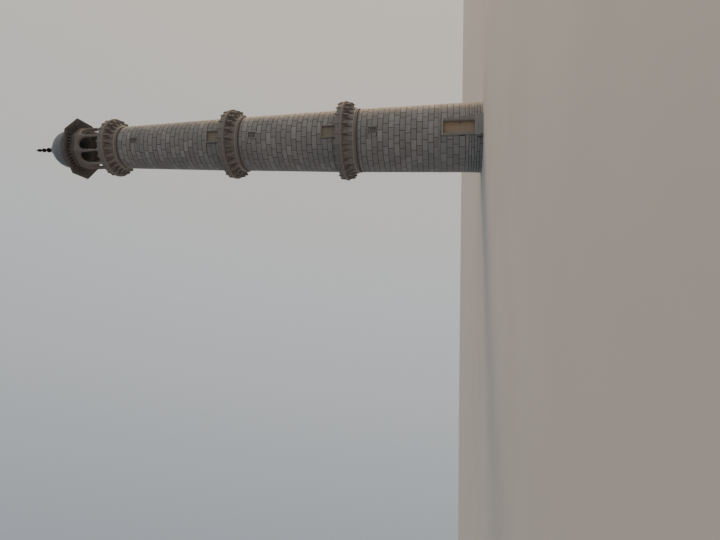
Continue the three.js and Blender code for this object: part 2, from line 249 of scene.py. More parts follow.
def plate(outline, front, back, bevel=0.0, upright=False):
    """Extrude an outline. It holds (across, up) pairs and runs from y = front to y = back, or with
    upright it holds (x, y) pairs and runs from z = front to z = back."""
    bm = fresh()
    if upright:
        corners = [bm.verts.new((x, y, front)) for x, y in outline]
        shift = Vector((0.0, 0.0, back - front))
    else:
        corners = [bm.verts.new((x, front, z)) for x, z in outline]
        shift = Vector((0.0, back - front, 0.0))
    made = bmesh.ops.extrude_face_region(bm, geom=[bm.faces.new(corners)])
    moved = [v for v in made["geom"] if isinstance(v, bmesh.types.BMVert)]
    bmesh.ops.translate(bm, verts=moved, vec=shift)
    bmesh.ops.recalc_face_normals(bm, faces=bm.faces[:])
    if bevel:
        soften(bm, sharp_edges(bm), bevel)
    return bm


def sink_panels(bm, direction, margin, depth):
    """Sink a panel into each large face that looks along a direction."""
    bm.normal_update()
    toward = Vector(direction)
    faces = [f for f in bm.faces if f.normal.dot(toward) > 0.9 and f.calc_area() > 9 * margin * margin]
    if faces:
        bmesh.ops.inset_region(
            bm, faces=faces, thickness=margin, depth=0.0, use_even_offset=True, use_boundary=True)
        bmesh.ops.translate(
            bm, verts=list({v for f in faces for v in f.verts}), vec=-toward * depth)


def turned(profile, steps=ROUND_STEPS, closed=False, start=0.0, sweep=TURN):
    """Spin a profile of (radius, height) pairs round the tower's axis, from an azimuth on."""
    bm = fresh()
    corners = [bm.verts.new((r * math.sin(start), -r * math.cos(start), z)) for r, z in profile]
    edges = [bm.edges.new(pair) for pair in zip(corners, corners[1:])]
    if closed:
        edges.append(bm.edges.new((corners[-1], corners[0])))
    whole = sweep == TURN
    bmesh.ops.spin(
        bm, geom=corners + edges, cent=(0, 0, 0), axis=(0, 0, 1), dvec=(0, 0, 0), angle=sweep,
        steps=steps, use_merge=whole, use_duplicate=False)
    if not whole:
        bmesh.ops.holes_fill(bm, edges=[e for e in bm.edges if e.is_boundary], sides=0)
    bmesh.ops.remove_doubles(bm, verts=bm.verts[:], dist=1e-5)
    bmesh.ops.recalc_face_normals(bm, faces=bm.faces[:])
    return bm


def points_from(radius, height, *steps):
    """Points of a profile, at full-size steps out and up from a radius and a height."""
    return [(radius + real(out), height + real(up)) for out, up in steps]


def bead(radius, low, high, bulge, steps=4):
    """Points of a half-round moulding between two heights."""
    middle, half = (low + high) / 2, (high - low) / 2
    turns = [math.pi * (i / steps - 0.5) for i in range(steps + 1)]
    return [(radius + bulge * math.cos(a), middle + half * math.sin(a)) for a in turns]


def cyma(start, end, steps=5):
    """Points of an S-shaped moulding between two points."""
    (r0, z0), (r1, z1) = start, end
    shares = [i / steps for i in range(steps + 1)]
    return [(r0 + (r1 - r0) * t * t * (3 - 2 * t), z0 + (z1 - z0) * t) for t in shares]


def smooth_line(points, per_span):
    """A smooth curve through a few points, as pairs."""
    last = len(points) - 1
    line = []
    for i in range(last):
        a, b, c, d = (Vector(points[max(0, min(last, i + k))]) for k in (-1, 0, 1, 2))
        for step in range(per_span):
            t = step / per_span
            line.append(tuple(0.5 * (2 * b + (c - a) * t + (2 * a - 5 * b + 4 * c - d) * t * t
                                     + (3 * b - a - 3 * c + d) * t * t * t)))
    return [*line, tuple(points[-1])]


def bezier(a, b, c, d, steps):
    """A cubic curve between a and d, pulled towards b and c, as pairs."""
    line = []
    for i in range(steps + 1):
        t = i / steps
        weights = ((1 - t) ** 3, 3 * t * (1 - t) ** 2, 3 * t * t * (1 - t), t ** 3)
        line.append(tuple(sum(w * point[k] for w, point in zip(weights, (a, b, c, d))) for k in (0, 1)))
    return line


def with_mirror(line):
    """A line that ends on the middle, carried on by its own mirror image."""
    return line + [(-across, up) for across, up in reversed(line[:-1])]


def to_door_side(bm):
    """Turn a part that was drawn along +X so that it points to the door side."""
    quarter = Matrix.Rotation(-math.pi / 2, 3, "Z")
    bmesh.ops.rotate(bm, verts=bm.verts[:], cent=(0, 0, 0), matrix=quarter)


def turn_about_axis(share):
    """Rotation about the tower's axis by a share of a full turn."""
    return Matrix.Rotation(TURN * share, 4, "Z")


def rim(node, height):
    """A node's greatest radius at a height."""
    near = [v.co for v in NODES[node].data.vertices if abs(v.co.z - height) < 0.002]
    return max(math.hypot(co.x, co.y) for co in near)


def corner_heights(node):
    """Heights of a node's corners, from low to high."""
    return sorted({round(v.co.z, 4) for v in NODES[node].data.vertices})


class Piece:
    """A visible piece, put together from finished parts."""

    def __init__(self, name):
        self.name = name
        self.bm = fresh()
        self.rng = random.Random(f"{SEED} {name}")

    def add(self, part, place=None, finish=0, own_tone=True, lightness=None):
        """Copy a part in, at a place, with one of the piece's finishes and a tone of its own."""
        mesh = bpy.data.meshes.new("part")
        part.to_mesh(mesh)
        if place is not None:
            mesh.transform(place)
        before = len(self.bm.faces)
        self.bm.from_mesh(mesh)
        bpy.data.meshes.remove(mesh)
        self.bm.faces.ensure_lookup_table()
        faces = self.bm.faces[before:]
        for face in faces:
            face.material_index = finish
        if own_tone:
            tint(self.bm, faces, self.rng, lightness)

    def add_round(self, part, count, phase=0.0, finish=0, place=None, lightness=None):
        """Copies of a part at even steps round the tower's axis."""
        place = Matrix() if place is None else place
        for i in range(count):
            self.add(part, turn_about_axis((i + phase) / count) @ place, finish, lightness=lightness)

    def finish(self, slot, finishes, replaces=(), body="tower", crease=32.0):
        """Make the object, shade it, and tie it to the frame."""
        mesh = bpy.data.meshes.new(self.name)
        self.bm.to_mesh(mesh)
        self.bm.free()
        mesh.shade_smooth()
        mesh.set_sharp_from_angle(angle=math.radians(crease))
        for finish in finishes:
            mesh.materials.append(FINISHES[finish]())
        obj = bpy.data.objects.new(self.name, mesh)
        bpy.context.scene.collection.objects.link(obj)
        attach(obj, body)
        if replaces:
            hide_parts(*replaces)


# Materials

NOISE_SPAN = (0.3, 0.7)  # where nearly all of a noise's values lie
WHITE, BLACK, DARK_GRAIN = [1.0, 1.0, 1.0, 1.0], [0.0, 0.0, 0.0, 1.0], [0.02, 0.012, 0.008, 1.0]
# The radius halfway through the wall at the ground, and its change with each metre of height
WALL_MIDDLE, WALL_TAPER = real(2.26), -0.0175


def add_node(tree, kind, settings=()):
    """Add a node and set its properties and sockets. Another node's socket is linked."""
    node = tree.nodes.new(kind)
    for key, value in dict(settings).items():
        if isinstance(value, bpy.types.NodeSocket):
            tree.links.new(value, node.inputs[key])
        elif isinstance(key, int) or key in node.inputs:
            node.inputs[key].default_value = value
        else:
            setattr(node, key, value)
    return node


def calculate(tree, operation, *values):
    """The result of a Math node for sockets or numbers."""
    settings = {"operation": operation, **dict(enumerate(values))}
    return add_node(tree, "ShaderNodeMath", settings).outputs[0]


def calculate_vector(tree, operation, *values, **settings):
    """The outputs of a Vector Math node for sockets or vectors."""
    settings = {"operation": operation, **settings, **dict(enumerate(values))}
    return add_node(tree, "ShaderNodeVectorMath", settings).outputs


def start_material(name):
    """A new material, its empty node tree and the socket of its Object coordinates."""
    material = bpy.data.materials.new(name)
    material.use_nodes = True
    tree = material.node_tree
    tree.nodes.clear()
    return material, tree, add_node(tree, "ShaderNodeTexCoord").outputs["Object"]


def read_tone(tree, place, apart):
    """A part's lightness, warmth and wear, and coordinates that its tone moves apart, so that no two
    parts show the same stretch of a pattern."""
    tone = add_node(tree, "ShaderNodeAttribute", {"attribute_name": "tone"}).outputs
    shares = add_node(tree, "ShaderNodeSeparateColor", {"Color": tone["Color"]}).outputs
    shift = calculate_vector(tree, "SCALE", tone["Vector"], Scale=apart)[0]
    return shares[0], shares[1], tone["Alpha"], calculate_vector(tree, "ADD", place, shift)[0]


def stretch(tree, vector, upright):
    """Coordinates whose patterns run long up and down."""
    return add_node(tree, "ShaderNodeMapping", {
        "Scale": (1.0, 1.0, upright), "Vector": vector}).outputs["Vector"]


def pattern(tree, vector, grain_mm, detail=4.0, roughness=0.55, distortion=0.0):
    """Noise whose blotches are about grain_mm across, from 0 to 1."""
    return add_node(tree, "ShaderNodeTexNoise", {
        "Scale": 1000.0 / grain_mm, "Detail": detail, "Roughness": roughness,
        "Distortion": distortion, "Vector": vector}).outputs["Fac"]


def ramp(tree, value, span, shares=(0.0, 1.0)):
    """Stretch a span of values to another."""
    return add_node(tree, "ShaderNodeMapRange", {
        "From Min": span[0], "From Max": span[1], "To Min": shares[0], "To Max": shares[1],
        "Value": value}).outputs["Result"]


def blend(tree, share, under, over):
    """Lay a share of one colour over another. Each is a socket or a value."""
    return add_node(tree, "ShaderNodeMix", {"data_type": "RGBA", 0: share, 6: under, 7: over}).outputs[2]


def close_material(material, tree, base, gloss, rough, height=None, relief_mm=0.0, settings=()):
    """Shader and output. The roughness runs between two values as the gloss pattern does, a height
    gives the bump, and the rest is set on the shader."""
    looks = {**dict(settings), "Base Color": base, "Roughness": ramp(tree, gloss, NOISE_SPAN, rough)}
    if height is not None:
        looks["Normal"] = add_node(tree, "ShaderNodeBump", {
            "Strength": 1.0, "Distance": relief_mm / 1000.0, "Height": height}).outputs["Normal"]
    shader = add_node(tree, "ShaderNodeBsdfPrincipled", looks)
    add_node(tree, "ShaderNodeOutputMaterial", {"Surface": shader.outputs["BSDF"]})
    return material


def colours():
    """The scene's colour settings."""
    return bpy.context.scene.minaret_colours


def mixed(first, second, share):
    """A colour between two, at a share of the way."""
    return [a + (b - a) * share for a, b in zip(first, second)]


def stone(name, base, warm, cool, rough, blotch_mm, vein_mm, pit_mm, relief_mm, spread, streak_mm=None):
    """A stone cut in separate pieces. Each piece's tone shifts its lightness and cast, fine veins and
    blotches vary it inside, rain streaks run down it, and worn edges are paler."""
    material, tree, place = start_material(name)
    lightness, warmth, worn, own = read_tone(tree, place, apart=40.0)
    light, dark = mixed(base, WHITE, 0.35), mixed(base, BLACK, 0.55)
    cast = blend(tree, ramp(tree, warmth, (0.0, 1.0)), cool, warm)
    body = blend(tree, 0.62, cast, base)
    body = blend(tree, ramp(tree, lightness, (0.0, 1.0), (-spread, spread)), body, light)
    body = blend(tree, ramp(tree, lightness, (0.0, 1.0), (spread * 1.4, 0.0)), body, dark)
    blotch = pattern(tree, own, blotch_mm, detail=5.0)
    body = blend(tree, ramp(tree, blotch, (0.35, 0.72), (0.0, 0.4)), body, dark)
    # a vein runs where its noise crosses the middle value
    vein = pattern(tree, own, vein_mm, detail=6.0, roughness=0.6, distortion=1.6)
    distance = calculate(tree, "ABSOLUTE", calculate(tree, "SUBTRACT", vein, 0.5))
    body = blend(tree, ramp(tree, distance, (0.0, 0.035), (0.3, 0.0)), body, dark)
    if streak_mm:
        soot = pattern(tree, stretch(tree, place, 0.09), streak_mm, roughness=0.65)
        body = blend(tree, ramp(tree, soot, (0.48, 0.8), (0.0, 0.5)), body, dark)
    body = blend(tree, calculate(tree, "MULTIPLY", worn, 0.45), body, light)
    pits = pattern(tree, own, pit_mm, detail=3.0, roughness=0.7)
    return close_material(material, tree, body, blotch, (rough - 0.1, rough + 0.08), pits, relief_mm,
                          {"IOR": 1.5})


def dressed_marble_blocks():
    """Hand-dressed marble: matt, softly blotched grey blocks, each of its own warm or cool cast."""
    c = colours()
    return stone("dressed_marble_blocks", c.marble, c.marble_warm, c.marble_cool, rough=0.72,
                 blotch_mm=160.0, vein_mm=240.0, pit_mm=9.0, relief_mm=1.2, spread=0.62, streak_mm=210.0)


def honed_pale_marble():
    """Honed marble of the frames, belts and steps: paler and smoother, so that edges read crisply."""
    c = colours()
    return stone("honed_pale_marble", c.pale, c.marble_warm, c.marble_cool, rough=0.55,
                 blotch_mm=220.0, vein_mm=190.0, pit_mm=6.0, relief_mm=0.6, spread=0.12, streak_mm=160.0)


def carved_balcony_stone():
    """Carved stone browned by soot and rain: its hollows stay dark and its edges catch the light."""
    c = colours()
    return carved_stone("carved_balcony_stone", c.carved, c.marble_warm)


def sooty_and_shaded_bracket_stone():
    """The carved stone of the bracket arms, browner and darker: soot from below has settled there, and the
    darkening is also painted shade under the slab.
    """
    c = colours()
    return carved_stone("sooty_and_shaded_bracket_stone", mixed(c.carved, c.eave, 0.25),
                        mixed(c.marble_warm, c.eave, 0.25))


def carved_stone(name, base, warm):
    """The carved stone's grain and wear, in the colours given."""
    return stone(name, base, warm, colours().eave, rough=0.8,
                 blotch_mm=90.0, vein_mm=150.0, pit_mm=7.0, relief_mm=1.4, spread=0.2, streak_mm=120.0)


def weathered_dome_marble():
    """Marble washed bluish grey by the weather, with a dull sheen and faint dark runs."""
    c = colours()
    return stone("weathered_dome_marble", c.dome, c.marble_warm, c.marble_cool, rough=0.6,
                 blotch_mm=260.0, vein_mm=210.0, pit_mm=8.0, relief_mm=0.8, spread=0.12, streak_mm=240.0)


def sooty_and_shaded_eave_stone():
    """Stone under the eave, which rain never washes: dark brown and quite matt. Its darkness is soot and
    also painted shade, for it is laid where shade falls.
    """
    c = colours()
    return stone("sooty_and_shaded_eave_stone", c.eave, mixed(c.eave, c.marble_warm, 0.3),
                 mixed(c.eave, c.carved, 0.2), rough=0.88,
                 blotch_mm=120.0, vein_mm=160.0, pit_mm=8.0, relief_mm=1.0, spread=0.16)


def black_marble_joint():
    """Thin black marble strips set between the blocks; the inner face of the wall is limewashed."""
    c = colours()
    material, tree, place = start_material("black_marble_joints")
    level = calculate_vector(tree, "MULTIPLY", place, (1.0, 1.0, 0.0))[0]
    radius = calculate_vector(tree, "LENGTH", level)["Value"]
    height = add_node(tree, "ShaderNodeSeparateXYZ", {"Vector": place}).outputs["Z"]
    middle = calculate(tree, "MULTIPLY_ADD", height, WALL_TAPER, WALL_MIDDLE)
    dust = pattern(tree, place, 60.0)
    strip = blend(tree, ramp(tree, dust, (0.4, 0.75), (0.0, 0.4)), c.joint, mixed(c.joint, c.carved, 0.5))
    wash = blend(tree, ramp(tree, dust, NOISE_SPAN, (0.0, 0.5)), c.pale, c.carved)
    base = blend(tree, calculate(tree, "GREATER_THAN", radius, middle), wash, strip)
    return close_material(material, tree, base, dust, (0.6, 0.85), dust, 1.0)


def weathered_teak_boards():
    """Oiled teak bleached by the sun: long upright grain in tan and brown, each board its own shade."""
    return upright_boards("weathered_teak_boards", colours().boards)


def greyed_teak_boards():
    """Teak that has lost its oil on the balconies: the same long grain, gone a brownish grey."""
    return upright_boards("greyed_teak_boards", colours().old_boards)


def upright_boards(name, timber):
    """Boards with long upright grain; each board's tone shifts it towards grey."""
    material, tree, place = start_material(name)
    lightness, _, _, own = read_tone(tree, place, apart=25.0)
    along = stretch(tree, own, 0.06)
    grain = pattern(tree, along, 9.0, detail=6.0, roughness=0.6, distortion=0.4)
    bands = pattern(tree, along, 45.0, detail=3.0, roughness=0.5, distortion=0.8)
    dark = mixed(timber, DARK_GRAIN, 0.62)
    base = blend(tree, ramp(tree, grain, (0.42, 0.7), (0.0, 0.6)), timber, dark)
    base = blend(tree, ramp(tree, bands, (0.4, 0.7), (0.0, 0.3)), base, dark)
    grey = mixed(timber, colours().pale, 0.7)
    base = blend(tree, ramp(tree, lightness, (0.0, 1.0), (0.0, 0.7)), base, grey)
    return close_material(material, tree, base, grain, (0.5, 0.75), grain, 1.0)


def patchy_metal(name, base, patch, grain_mm, span, most, rough, relief_mm, metallic):
    """A metal with patches of another colour; the same patches vary its gloss and its surface."""
    material, tree, place = start_material(name)
    patches = pattern(tree, place, grain_mm)
    body = blend(tree, ramp(tree, patches, span, (0.0, most)), base, patch)
    return close_material(material, tree, body, patches, rough, patches, relief_mm, {"Metallic": metallic})


def forged_iron():
    """Hammered iron with a dull brown bloom, darker than the timber round it."""
    c = colours()
    return patchy_metal("forged_iron", c.iron, mixed(c.iron, c.boards, 0.35), grain_mm=18.0,
                        span=(0.4, 0.7), most=0.4, rough=(0.4, 0.7), relief_mm=0.6, metallic=0.85)


def blackened_bronze():
    """Cast bronze gone black outdoors: a dark body with soft, broad highlights."""
    c = colours()
    return patchy_metal("blackened_bronze", c.finial, mixed(c.finial, c.dome, 0.14), grain_mm=40.0,
                        span=(0.42, 0.7), most=0.5, rough=(0.42, 0.62), relief_mm=0.4, metallic=0.6)


def matt_studio_floor():
    """Seamless painted floor: plain, pale and matt, with no gloss to draw the eye."""
    c = colours()
    material, tree, place = start_material("matt_studio_floor")
    drift = pattern(tree, place, 4000.0, detail=2.0)
    base = blend(tree, ramp(tree, drift, NOISE_SPAN, (0.0, 0.08)), c.floor, c.dome)
    return close_material(material, tree, base, drift, (0.8, 0.9))


def once(make):
    """Make a material the first time that it is asked for, and hand out the same one after that."""
    made = []

    def give():
        if not made:
            made.append(make())
        return made[0]
    return give


FINISHES = {
    "blocks": once(dressed_marble_blocks),
    "joint": once(black_marble_joint),
    "pale": once(honed_pale_marble),
    "carved": once(carved_balcony_stone),
    "browned": once(sooty_and_shaded_bracket_stone),
    "dome": once(weathered_dome_marble),
    "eave": once(sooty_and_shaded_eave_stone),
    "boards": once(weathered_teak_boards),
    "old_boards": once(greyed_teak_boards),
    "iron": once(forged_iron),
    "finial": once(blackened_bronze),
    "floor": once(matt_studio_floor),
}


# Shared sizes, read from the frame or set from the full-size tower

SIDES = ("front", "right", "back", "left")
# Ranges of the blocks' lightness: paler near the ground
PALER_LOW_TONES = (0.5, 1.0)
STOREY_TONES = ((0.2, 1.0), (0.0, 1.0), (0.0, 1.0))
# How far a block's length may stray, as a share of it, and its face, in metres of the model
UNEVEN_LENGTH, UNEVEN_FACE = 0.2, 0.0012
PLINTH_TOP = real(1.26)
PLINTH_SETBACK = real(0.015)
PLINTH_COURSES = 6
COURSES_PER_BAND = 2
FOOT_COURSES = 4
WINDOW_HALF = real(0.23)
WINDOW_HEIGHT = real(0.65)
WINDOW_SILLS = (real(8.39), real(18.62), real(29.72))
FIRST_COURSES = (real(0.36), real(0.27), real(0.427))
COURSES = (real(0.451), real(0.44), real(0.427))
ROLL_STEPS = 96


class Storey:
    """Heights and radii of one storey's wall."""

    def __init__(self, number):
        node = f"storey_{number}_wall_right"
        low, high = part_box(node)
        self.foot, self.head = low.z, high.z
        self.foot_radius, self.head_radius = rim(node, low.z), rim(node, high.z)
        self.sill = WINDOW_SILLS[number - 1]
        self.first, self.course = FIRST_COURSES[number - 1], COURSES[number - 1]
        self.tones = STOREY_TONES[number - 1]

    def radius(self, height):
        """The wall's radius at a height."""
        share = (height - self.foot) / (self.head - self.foot)
        return self.foot_radius + (self.head_radius - self.foot_radius) * share

    def courses(self):
        """Courses from the foot up; the first and the last may be lower than the others."""
        lines = [self.foot, self.foot + self.first]
        while self.head - lines[-1] > self.course * 1.3:
            lines.append(lines[-1] + self.course)
        return list(zip(lines, [*lines[1:], self.head]))


STOREYS = [Storey(number) for number in range(1, STOREY_COUNT + 1)]


# Masonry

def minus(stone_edges, hole):
    """What is left of a stone round a hole. Both are (left, right, low, high)."""
    left, right, low, high = stone_edges
    hole_left, hole_right, hole_low, hole_high = hole
    if left >= hole_right or right <= hole_left or low >= hole_high or high <= hole_low:
        return [stone_edges]
    rest = []
    if low < hole_low:
        rest.append((left, right, low, hole_low))
    if high > hole_high:
        rest.append((left, right, hole_high, high))
    inner_low, inner_high = max(low, hole_low), min(high, hole_high)
    if left < hole_left:
        rest.append((left, hole_left, inner_low, inner_high))
    if right > hole_right:
        rest.append((hole_right, right, inner_low, inner_high))
    return rest


def course_stones(low, high, girth, usual, offset, rng):
    """One course's stones, measured along the face from the back of the tower."""
    count = max(4, round(girth / usual))
    step = girth / count
    starts = [(i + offset + rng.uniform(-UNEVEN_LENGTH, UNEVEN_LENGTH)) * step - girth / 2
              for i in range(count)]
    ends = starts[1:] + [starts[0] + girth]
    return [(left, right, low, high) for left, right in zip(starts, ends)]


def lay_masonry(piece, courses, radius_at, usual, holes, sizes, tones):
    """Lay courses of separate blocks on a round wall, each of a lightness in the range of tones. Holes
    are (half width, low, high, azimuth)."""
    bm, rng = piece.bm, piece.rng
    mean = radius_at((courses[0][0] + courses[-1][1]) / 2)
    girth = TURN * mean
    flat_holes = []
    for half, low, high, azimuth in holes:
        spread = math.asin(half / mean) * mean
        for middle in {azimuth * mean, -azimuth * mean}:
            flat_holes.append((middle - spread, middle + spread, low, high))
    smallest = sizes.joint * 2
    fronts = []
    for row, (low, high) in enumerate(courses):
        rects = course_stones(low, high, girth, usual, 0.5 * (row % 2), rng)
        for hole in flat_holes:
            rects = [rest for rect in rects for rest in minus(rect, hole)]
        for left, right, bottom, top in rects:
            if right - left < smallest or top - bottom < smallest:
                continue
            front = -sizes.proud + rng.uniform(-UNEVEN_FACE, UNEVEN_FACE)
            fronts += add_block(bm, (left, right, bottom, top), front, sizes, rng, rng.uniform(*tones))
    soften(bm, fronts, sizes.chamfer)
    # blocks that pass the seam at the back are split there too, so that they follow the round wall
    spare = math.ceil(usual / girth * ROLL_STEPS)
    for i in range(-spare, ROLL_STEPS + 1 + spare):
        across = (i / ROLL_STEPS - 0.5) * girth
        bmesh.ops.bisect_plane(
            bm, geom=bm.verts[:] + bm.edges[:] + bm.faces[:], plane_co=(across, 0, 0), plane_no=(1, 0, 0))
    for vert in bm.verts:
        angle = vert.co.x / mean
        radius = radius_at(vert.co.z) - vert.co.y
        vert.co = (radius * math.sin(angle), -radius * math.cos(angle), vert.co.z)


def add_block(bm, edges_at, front, sizes, rng, lightness):
    """One block in the unrolled wall, from its face at y = front back into the wall."""
    left, right, bottom, top = edges_at
    half = sizes.joint / 2
    low = Vector((left + half, front, bottom + half))
    high = Vector((right - half, sizes.sunk, top - half))
    corners = add_cube(bm, low, high)
    tint(bm, {f for v in corners for f in v.link_faces}, rng, lightness)
    edges = {e for v in corners for e in v.link_edges}
    return [e for e in edges if all(v.co.y < 0 for v in e.verts)]


def even_courses(low, high, count):
    """A height split into equal courses."""
    step = (high - low) / count
    return [(low + i * step, low + (i + 1) * step) for i in range(count)]


class MINARET_OT_masonry(bpy.types.Operator):
    """Lay the blocks of the foot and the three storeys on the walls"""
    bl_idname = "minaret.masonry"
    bl_label = "Masonry"

    def execute(self, context):
        sizes = context.scene.minaret_masonry
        self.lay_foot(sizes)
        for number, storey in enumerate(STOREYS, 1):
            edging = context.scene.minaret_doors.window_frame
            half = WINDOW_HALF + edging
            low, high = storey.sill - edging, storey.sill + WINDOW_HEIGHT + edging
            holes = [(half, low, high, 0.0), (half, low, high, math.pi)]
            if number > 1:
                frame_low, frame_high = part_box(f"balcony_{number - 1}_door_frame")
                holes.append((frame_high.x - sizes.joint / 2, frame_low.z - sizes.joint, frame_high.z, 0.0))
            piece = Piece(f"storey_{number}_blocks")
            lay_masonry(piece, storey.courses(), storey.radius, sizes.block, holes, sizes, storey.tones)
            piece.finish("tower_stone", ["blocks"])
        return {"FINISHED"}

    def lay_foot(self, sizes):
        surround_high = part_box("door_surround")[1]
        step_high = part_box("doorstep")[1]
        doorway = (surround_high.x - sizes.joint / 2, 0.0, surround_high.z, 0.0)
        steps = (step_high.x, 0.0, PLINTH_TOP / 3, 0.0)
        bottom_radius = rim("foot_wall_back", 0.0)

        def plinth_radius(height):
            band = min(2, int(max(0.0, height - 1e-4) / (PLINTH_TOP / 3)))
            return bottom_radius - PLINTH_SETBACK * band

        plinth = Piece("plinth_blocks")
        rows = even_courses(0.0, PLINTH_TOP, PLINTH_COURSES)
        for band in range(PLINTH_COURSES // COURSES_PER_BAND):
            radius = plinth_radius(rows[band * COURSES_PER_BAND][1])
            part = Piece(f"plinth band {band}")
            courses = rows[band * COURSES_PER_BAND:(band + 1) * COURSES_PER_BAND]
            lay_masonry(part, courses, lambda height, r=radius: r, sizes.plinth_block,
                        [doorway, steps], sizes, PALER_LOW_TONES)
            plinth.add(part.bm, own_tone=False)
            part.bm.free()
        plinth.finish("tower_stone", ["blocks"])

        wall_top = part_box("foot_wall_back")[1].z
        top_radius = rim("foot_wall_back", wall_top)
        wall_foot = top_radius + real(0.035)

        def wall_radius(height):
            share = (height - PLINTH_TOP) / (wall_top - PLINTH_TOP)
            return wall_foot + (top_radius - wall_foot) * share

        wall = Piece("foot_blocks")
        lay_masonry(wall, even_courses(PLINTH_TOP + real(0.06), wall_top, FOOT_COURSES), wall_radius,
                    sizes.block, [doorway], sizes, PALER_LOW_TONES)
        wall.finish("tower_stone", ["blocks"])

        # Rounded moulding on the plinth, up to the door's surround on both sides
        seat = plinth_radius(PLINTH_TOP)
        spread = math.asin((surround_high.x + 0.002) / seat)
        low, high = PLINTH_TOP - real(0.03), PLINTH_TOP + real(0.07)
        section = [(seat - real(0.12), low), (seat, low),
                   *bead(seat, low, PLINTH_TOP + real(0.03), real(0.03)),
                   *cyma((seat - real(0.01), PLINTH_TOP + real(0.035)), (seat - real(0.08), high))[1:],
                   (seat - real(0.12), high)]
        moulding = Piece("plinth_moulding")
        moulding.add(turned(section, closed=True, start=spread, sweep=TURN - 2 * spread))
        moulding.finish("tower_stone", ["pale"])


class MINARET_OT_belt(bpy.types.Operator):
    """Turn the moulded belt course between the foot and the first storey"""
    bl_idname = "minaret.belt"
    bl_label = "Belt course"

    def execute(self, context):
        low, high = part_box("belt_course")
        outer = rim("belt_course", high.z)
        section = [*points_from(outer, low.z, (-0.2, 0.0), (-0.05, 0.0), (-0.05, 0.02)),
                   *bead(outer - real(0.035), low.z + real(0.02), low.z + real(0.075), real(0.03)),
                   *points_from(outer, low.z, (-0.045, 0.08)),
                   *cyma(*points_from(outer, low.z, (-0.045, 0.09), (0.0, 0.13))),
                   *points_from(outer, high.z, (0.0, -0.012), (-0.012, 0.0), (-0.2, 0.0))]
        piece = Piece("belt_moulding")
        piece.add(turned(section, closed=True), lightness=1.0)
        piece.finish("pale_stone", ["pale"], ["belt_course"])
        return {"FINISHED"}


# Doors and windows

IRON = 1  # the place of iron in a door's finishes
# Spaces between the bars of a window's grille, across and up
GRILLE_COLUMNS, GRILLE_ROWS = 5, 7


def boarded_leaf(piece, low, high, sizes, ledges):
    """Upright boards with cross ledges and iron studs, filling a box. Boards go greyer to the left."""
    thick = high.y - low.y
    count = max(3, round((high.x - low.x) / sizes.board))
    step = (high.x - low.x) / count
    gap = sizes.groove / 2
    front = low.y + thick * 0.22
    for i in range(count):
        left = low.x + i * step
        board = cuboid((left + gap, front, low.z),
                       (left + step - gap, high.y - thick * 0.2, high.z), WORN_EDGE)
        piece.add(board, lightness=1.0 - 0.8 * i / (count - 1))
    backing = (low.x + gap, front + thick * 0.2, low.z + 0.002)
    piece.add(cuboid(backing, (high.x - gap, high.y - thick * 0.3, high.z - 0.002)))
    ledge_half = sizes.board * 0.42
    for share in ledges:
        level = low.z + (high.z - low.z) * share
        piece.add(cuboid((low.x + gap, low.y + thick * 0.06, level - ledge_half),
                         (high.x - gap, front + thick * 0.1, level + ledge_half), WORN_EDGE))
        piece.add(cuboid((low.x + gap, high.y - thick * 0.25, level - ledge_half),
                         (high.x - gap, high.y, level + ledge_half), WORN_EDGE))
        stud = turned([(0.0, -0.004), (sizes.stud, -0.004), (sizes.stud * 0.8, 0.003), (0.0, 0.004)], 8)
        for i in range(count):
            spot = Matrix.Translation((low.x + (i + 0.5) * step, low.y + thick * 0.06, level))
            piece.add(stud, spot @ Matrix.Rotation(math.pi / 2, 4, "X"), IRON)


